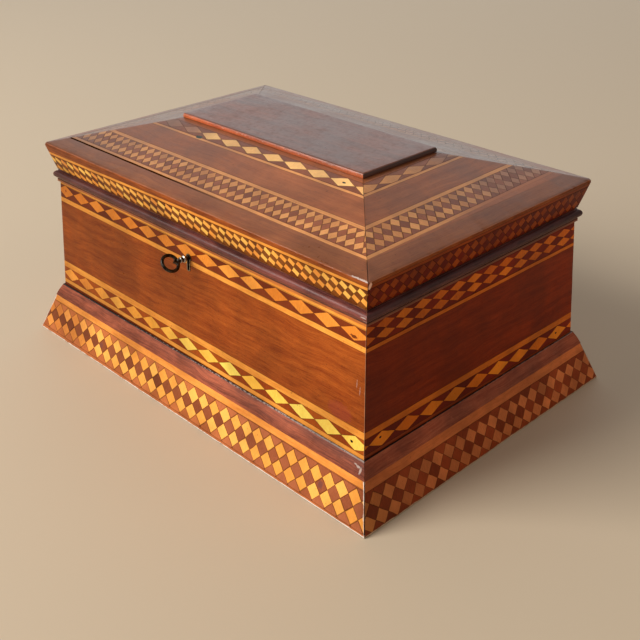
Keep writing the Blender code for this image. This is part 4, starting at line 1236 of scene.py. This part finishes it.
# Key: a small iron key standing in the lock, turned a little. Its bow is a forged ring, filled in to a point
# where it meets the shank, and the shank is turned with two collars that are rubbed bright.
key_turn = math.radians(-44.6)
bow_distance, bow_radius, bow_wire = 13.6 * MM, 6.3 * MM, 1.05 * MM
bow_middle_radius = bow_radius - bow_wire
key_place = lock_place @ Matrix.Rotation(key_turn, 4, "Y")
shank_turning = [(8.9, 0.0), (8.9, 1.0), (8.3, 1.55), (7.4, 1.35), (6.8, 1.30), (6.55, 1.72), (6.2, 1.90),
                 (5.85, 1.72), (5.6, 1.35), (4.6, 1.40), (4.2, 1.9), (3.95, 2.25), (3.6, 2.35), (3.25, 2.25),
                 (3.0, 1.9), (2.7, 1.45), (-7.3, 1.45), (-7.5, 1.2), (-7.5, 0.0)]
key_bm = bmesh.new()
wear = key_bm.verts.layers.float.new("arris")
profile = [key_bm.verts.new((radius * MM, -distance * MM, 0.0)) for distance, radius in shank_turning]
for corner, (distance, radius) in zip(profile, shank_turning):
    corner[wear] = 1.0 if radius > 1.7 else 0.0
edges = [key_bm.edges.new(pair) for pair in zip(profile, profile[1:])]
bmesh.ops.spin(key_bm, geom=profile + edges, cent=(0, 0, 0), axis=(0, 1, 0), angle=2 * math.pi, steps=28,
               use_merge=True)
bmesh.ops.remove_doubles(key_bm, verts=key_bm.verts, dist=0.001 * MM)
ring_place = Matrix.Translation((0, bow_middle_radius - bow_distance, 0))
ring = bmesh.ops.create_circle(key_bm, segments=16, radius=bow_wire, matrix=ring_place)["verts"]
ring_edges = list({edge for vert in ring for edge in vert.link_edges})
bmesh.ops.spin(key_bm, geom=ring + ring_edges, cent=(0, -bow_distance, 0), axis=(1, 0, 0), angle=2 * math.pi,
               steps=56, use_merge=True)
web_half = 0.85 * MM
web_outline = [(2.0, 0.0), (3.1, 0.75), (3.9, 1.75), (4.1, 2.9), (4.9, 2.2), (5.6, 0.9)]
web_outline += [(y, -z) for y, z in reversed(web_outline[1:])]
web_points = [key_bm.verts.new((-web_half, y * MM - bow_distance, z * MM)) for y, z in web_outline]
grown = bmesh.ops.extrude_face_region(key_bm, geom=[key_bm.faces.new(web_points)])
bmesh.ops.translate(key_bm, vec=(2 * web_half, 0, 0),
                    verts=[item for item in grown["geom"] if isinstance(item, bmesh.types.BMVert)])
bit_start, bit_half, bit_reach, bit_root = lock_front + 3 * joint_fit, 0.8 * MM, 4.8 * MM, 0.7 * MM
for start, end, share in ((0.0, 1.15, 1.0), (1.15, 1.85, 0.72), (1.85, 3.0, 1.0)):
    add_block(key_bm, (-bit_half, bit_start + start * MM, -bit_reach * share),
              (bit_half, bit_start + end * MM, -bit_root))
bmesh.ops.transform(key_bm, matrix=key_place, verts=key_bm.verts)
bmesh.ops.recalc_face_normals(key_bm, faces=key_bm.faces)
iron_finish = metal_finish("dark iron", (0.018, 0.015, 0.013), (0.075, 0.066, 0.058), (0.25, 0.45), 500.0)
tree = iron_finish.node_tree
iron_shader = tree.nodes["Principled BSDF"]
rubbed = add_node(tree, "ShaderNodeAttribute", attribute_name="arris").outputs["Fac"]
iron_colour = iron_shader.inputs["Base Color"].links[0].from_socket
wire(tree, iron_shader, Base_Color=mix(tree, ramp(tree, rubbed, 0.3, 0.8), iron_colour, (0.42, 0.38, 0.33)))
finish_piece("small_key", key_bm, (iron_finish,), "case", "dark_iron", "key")
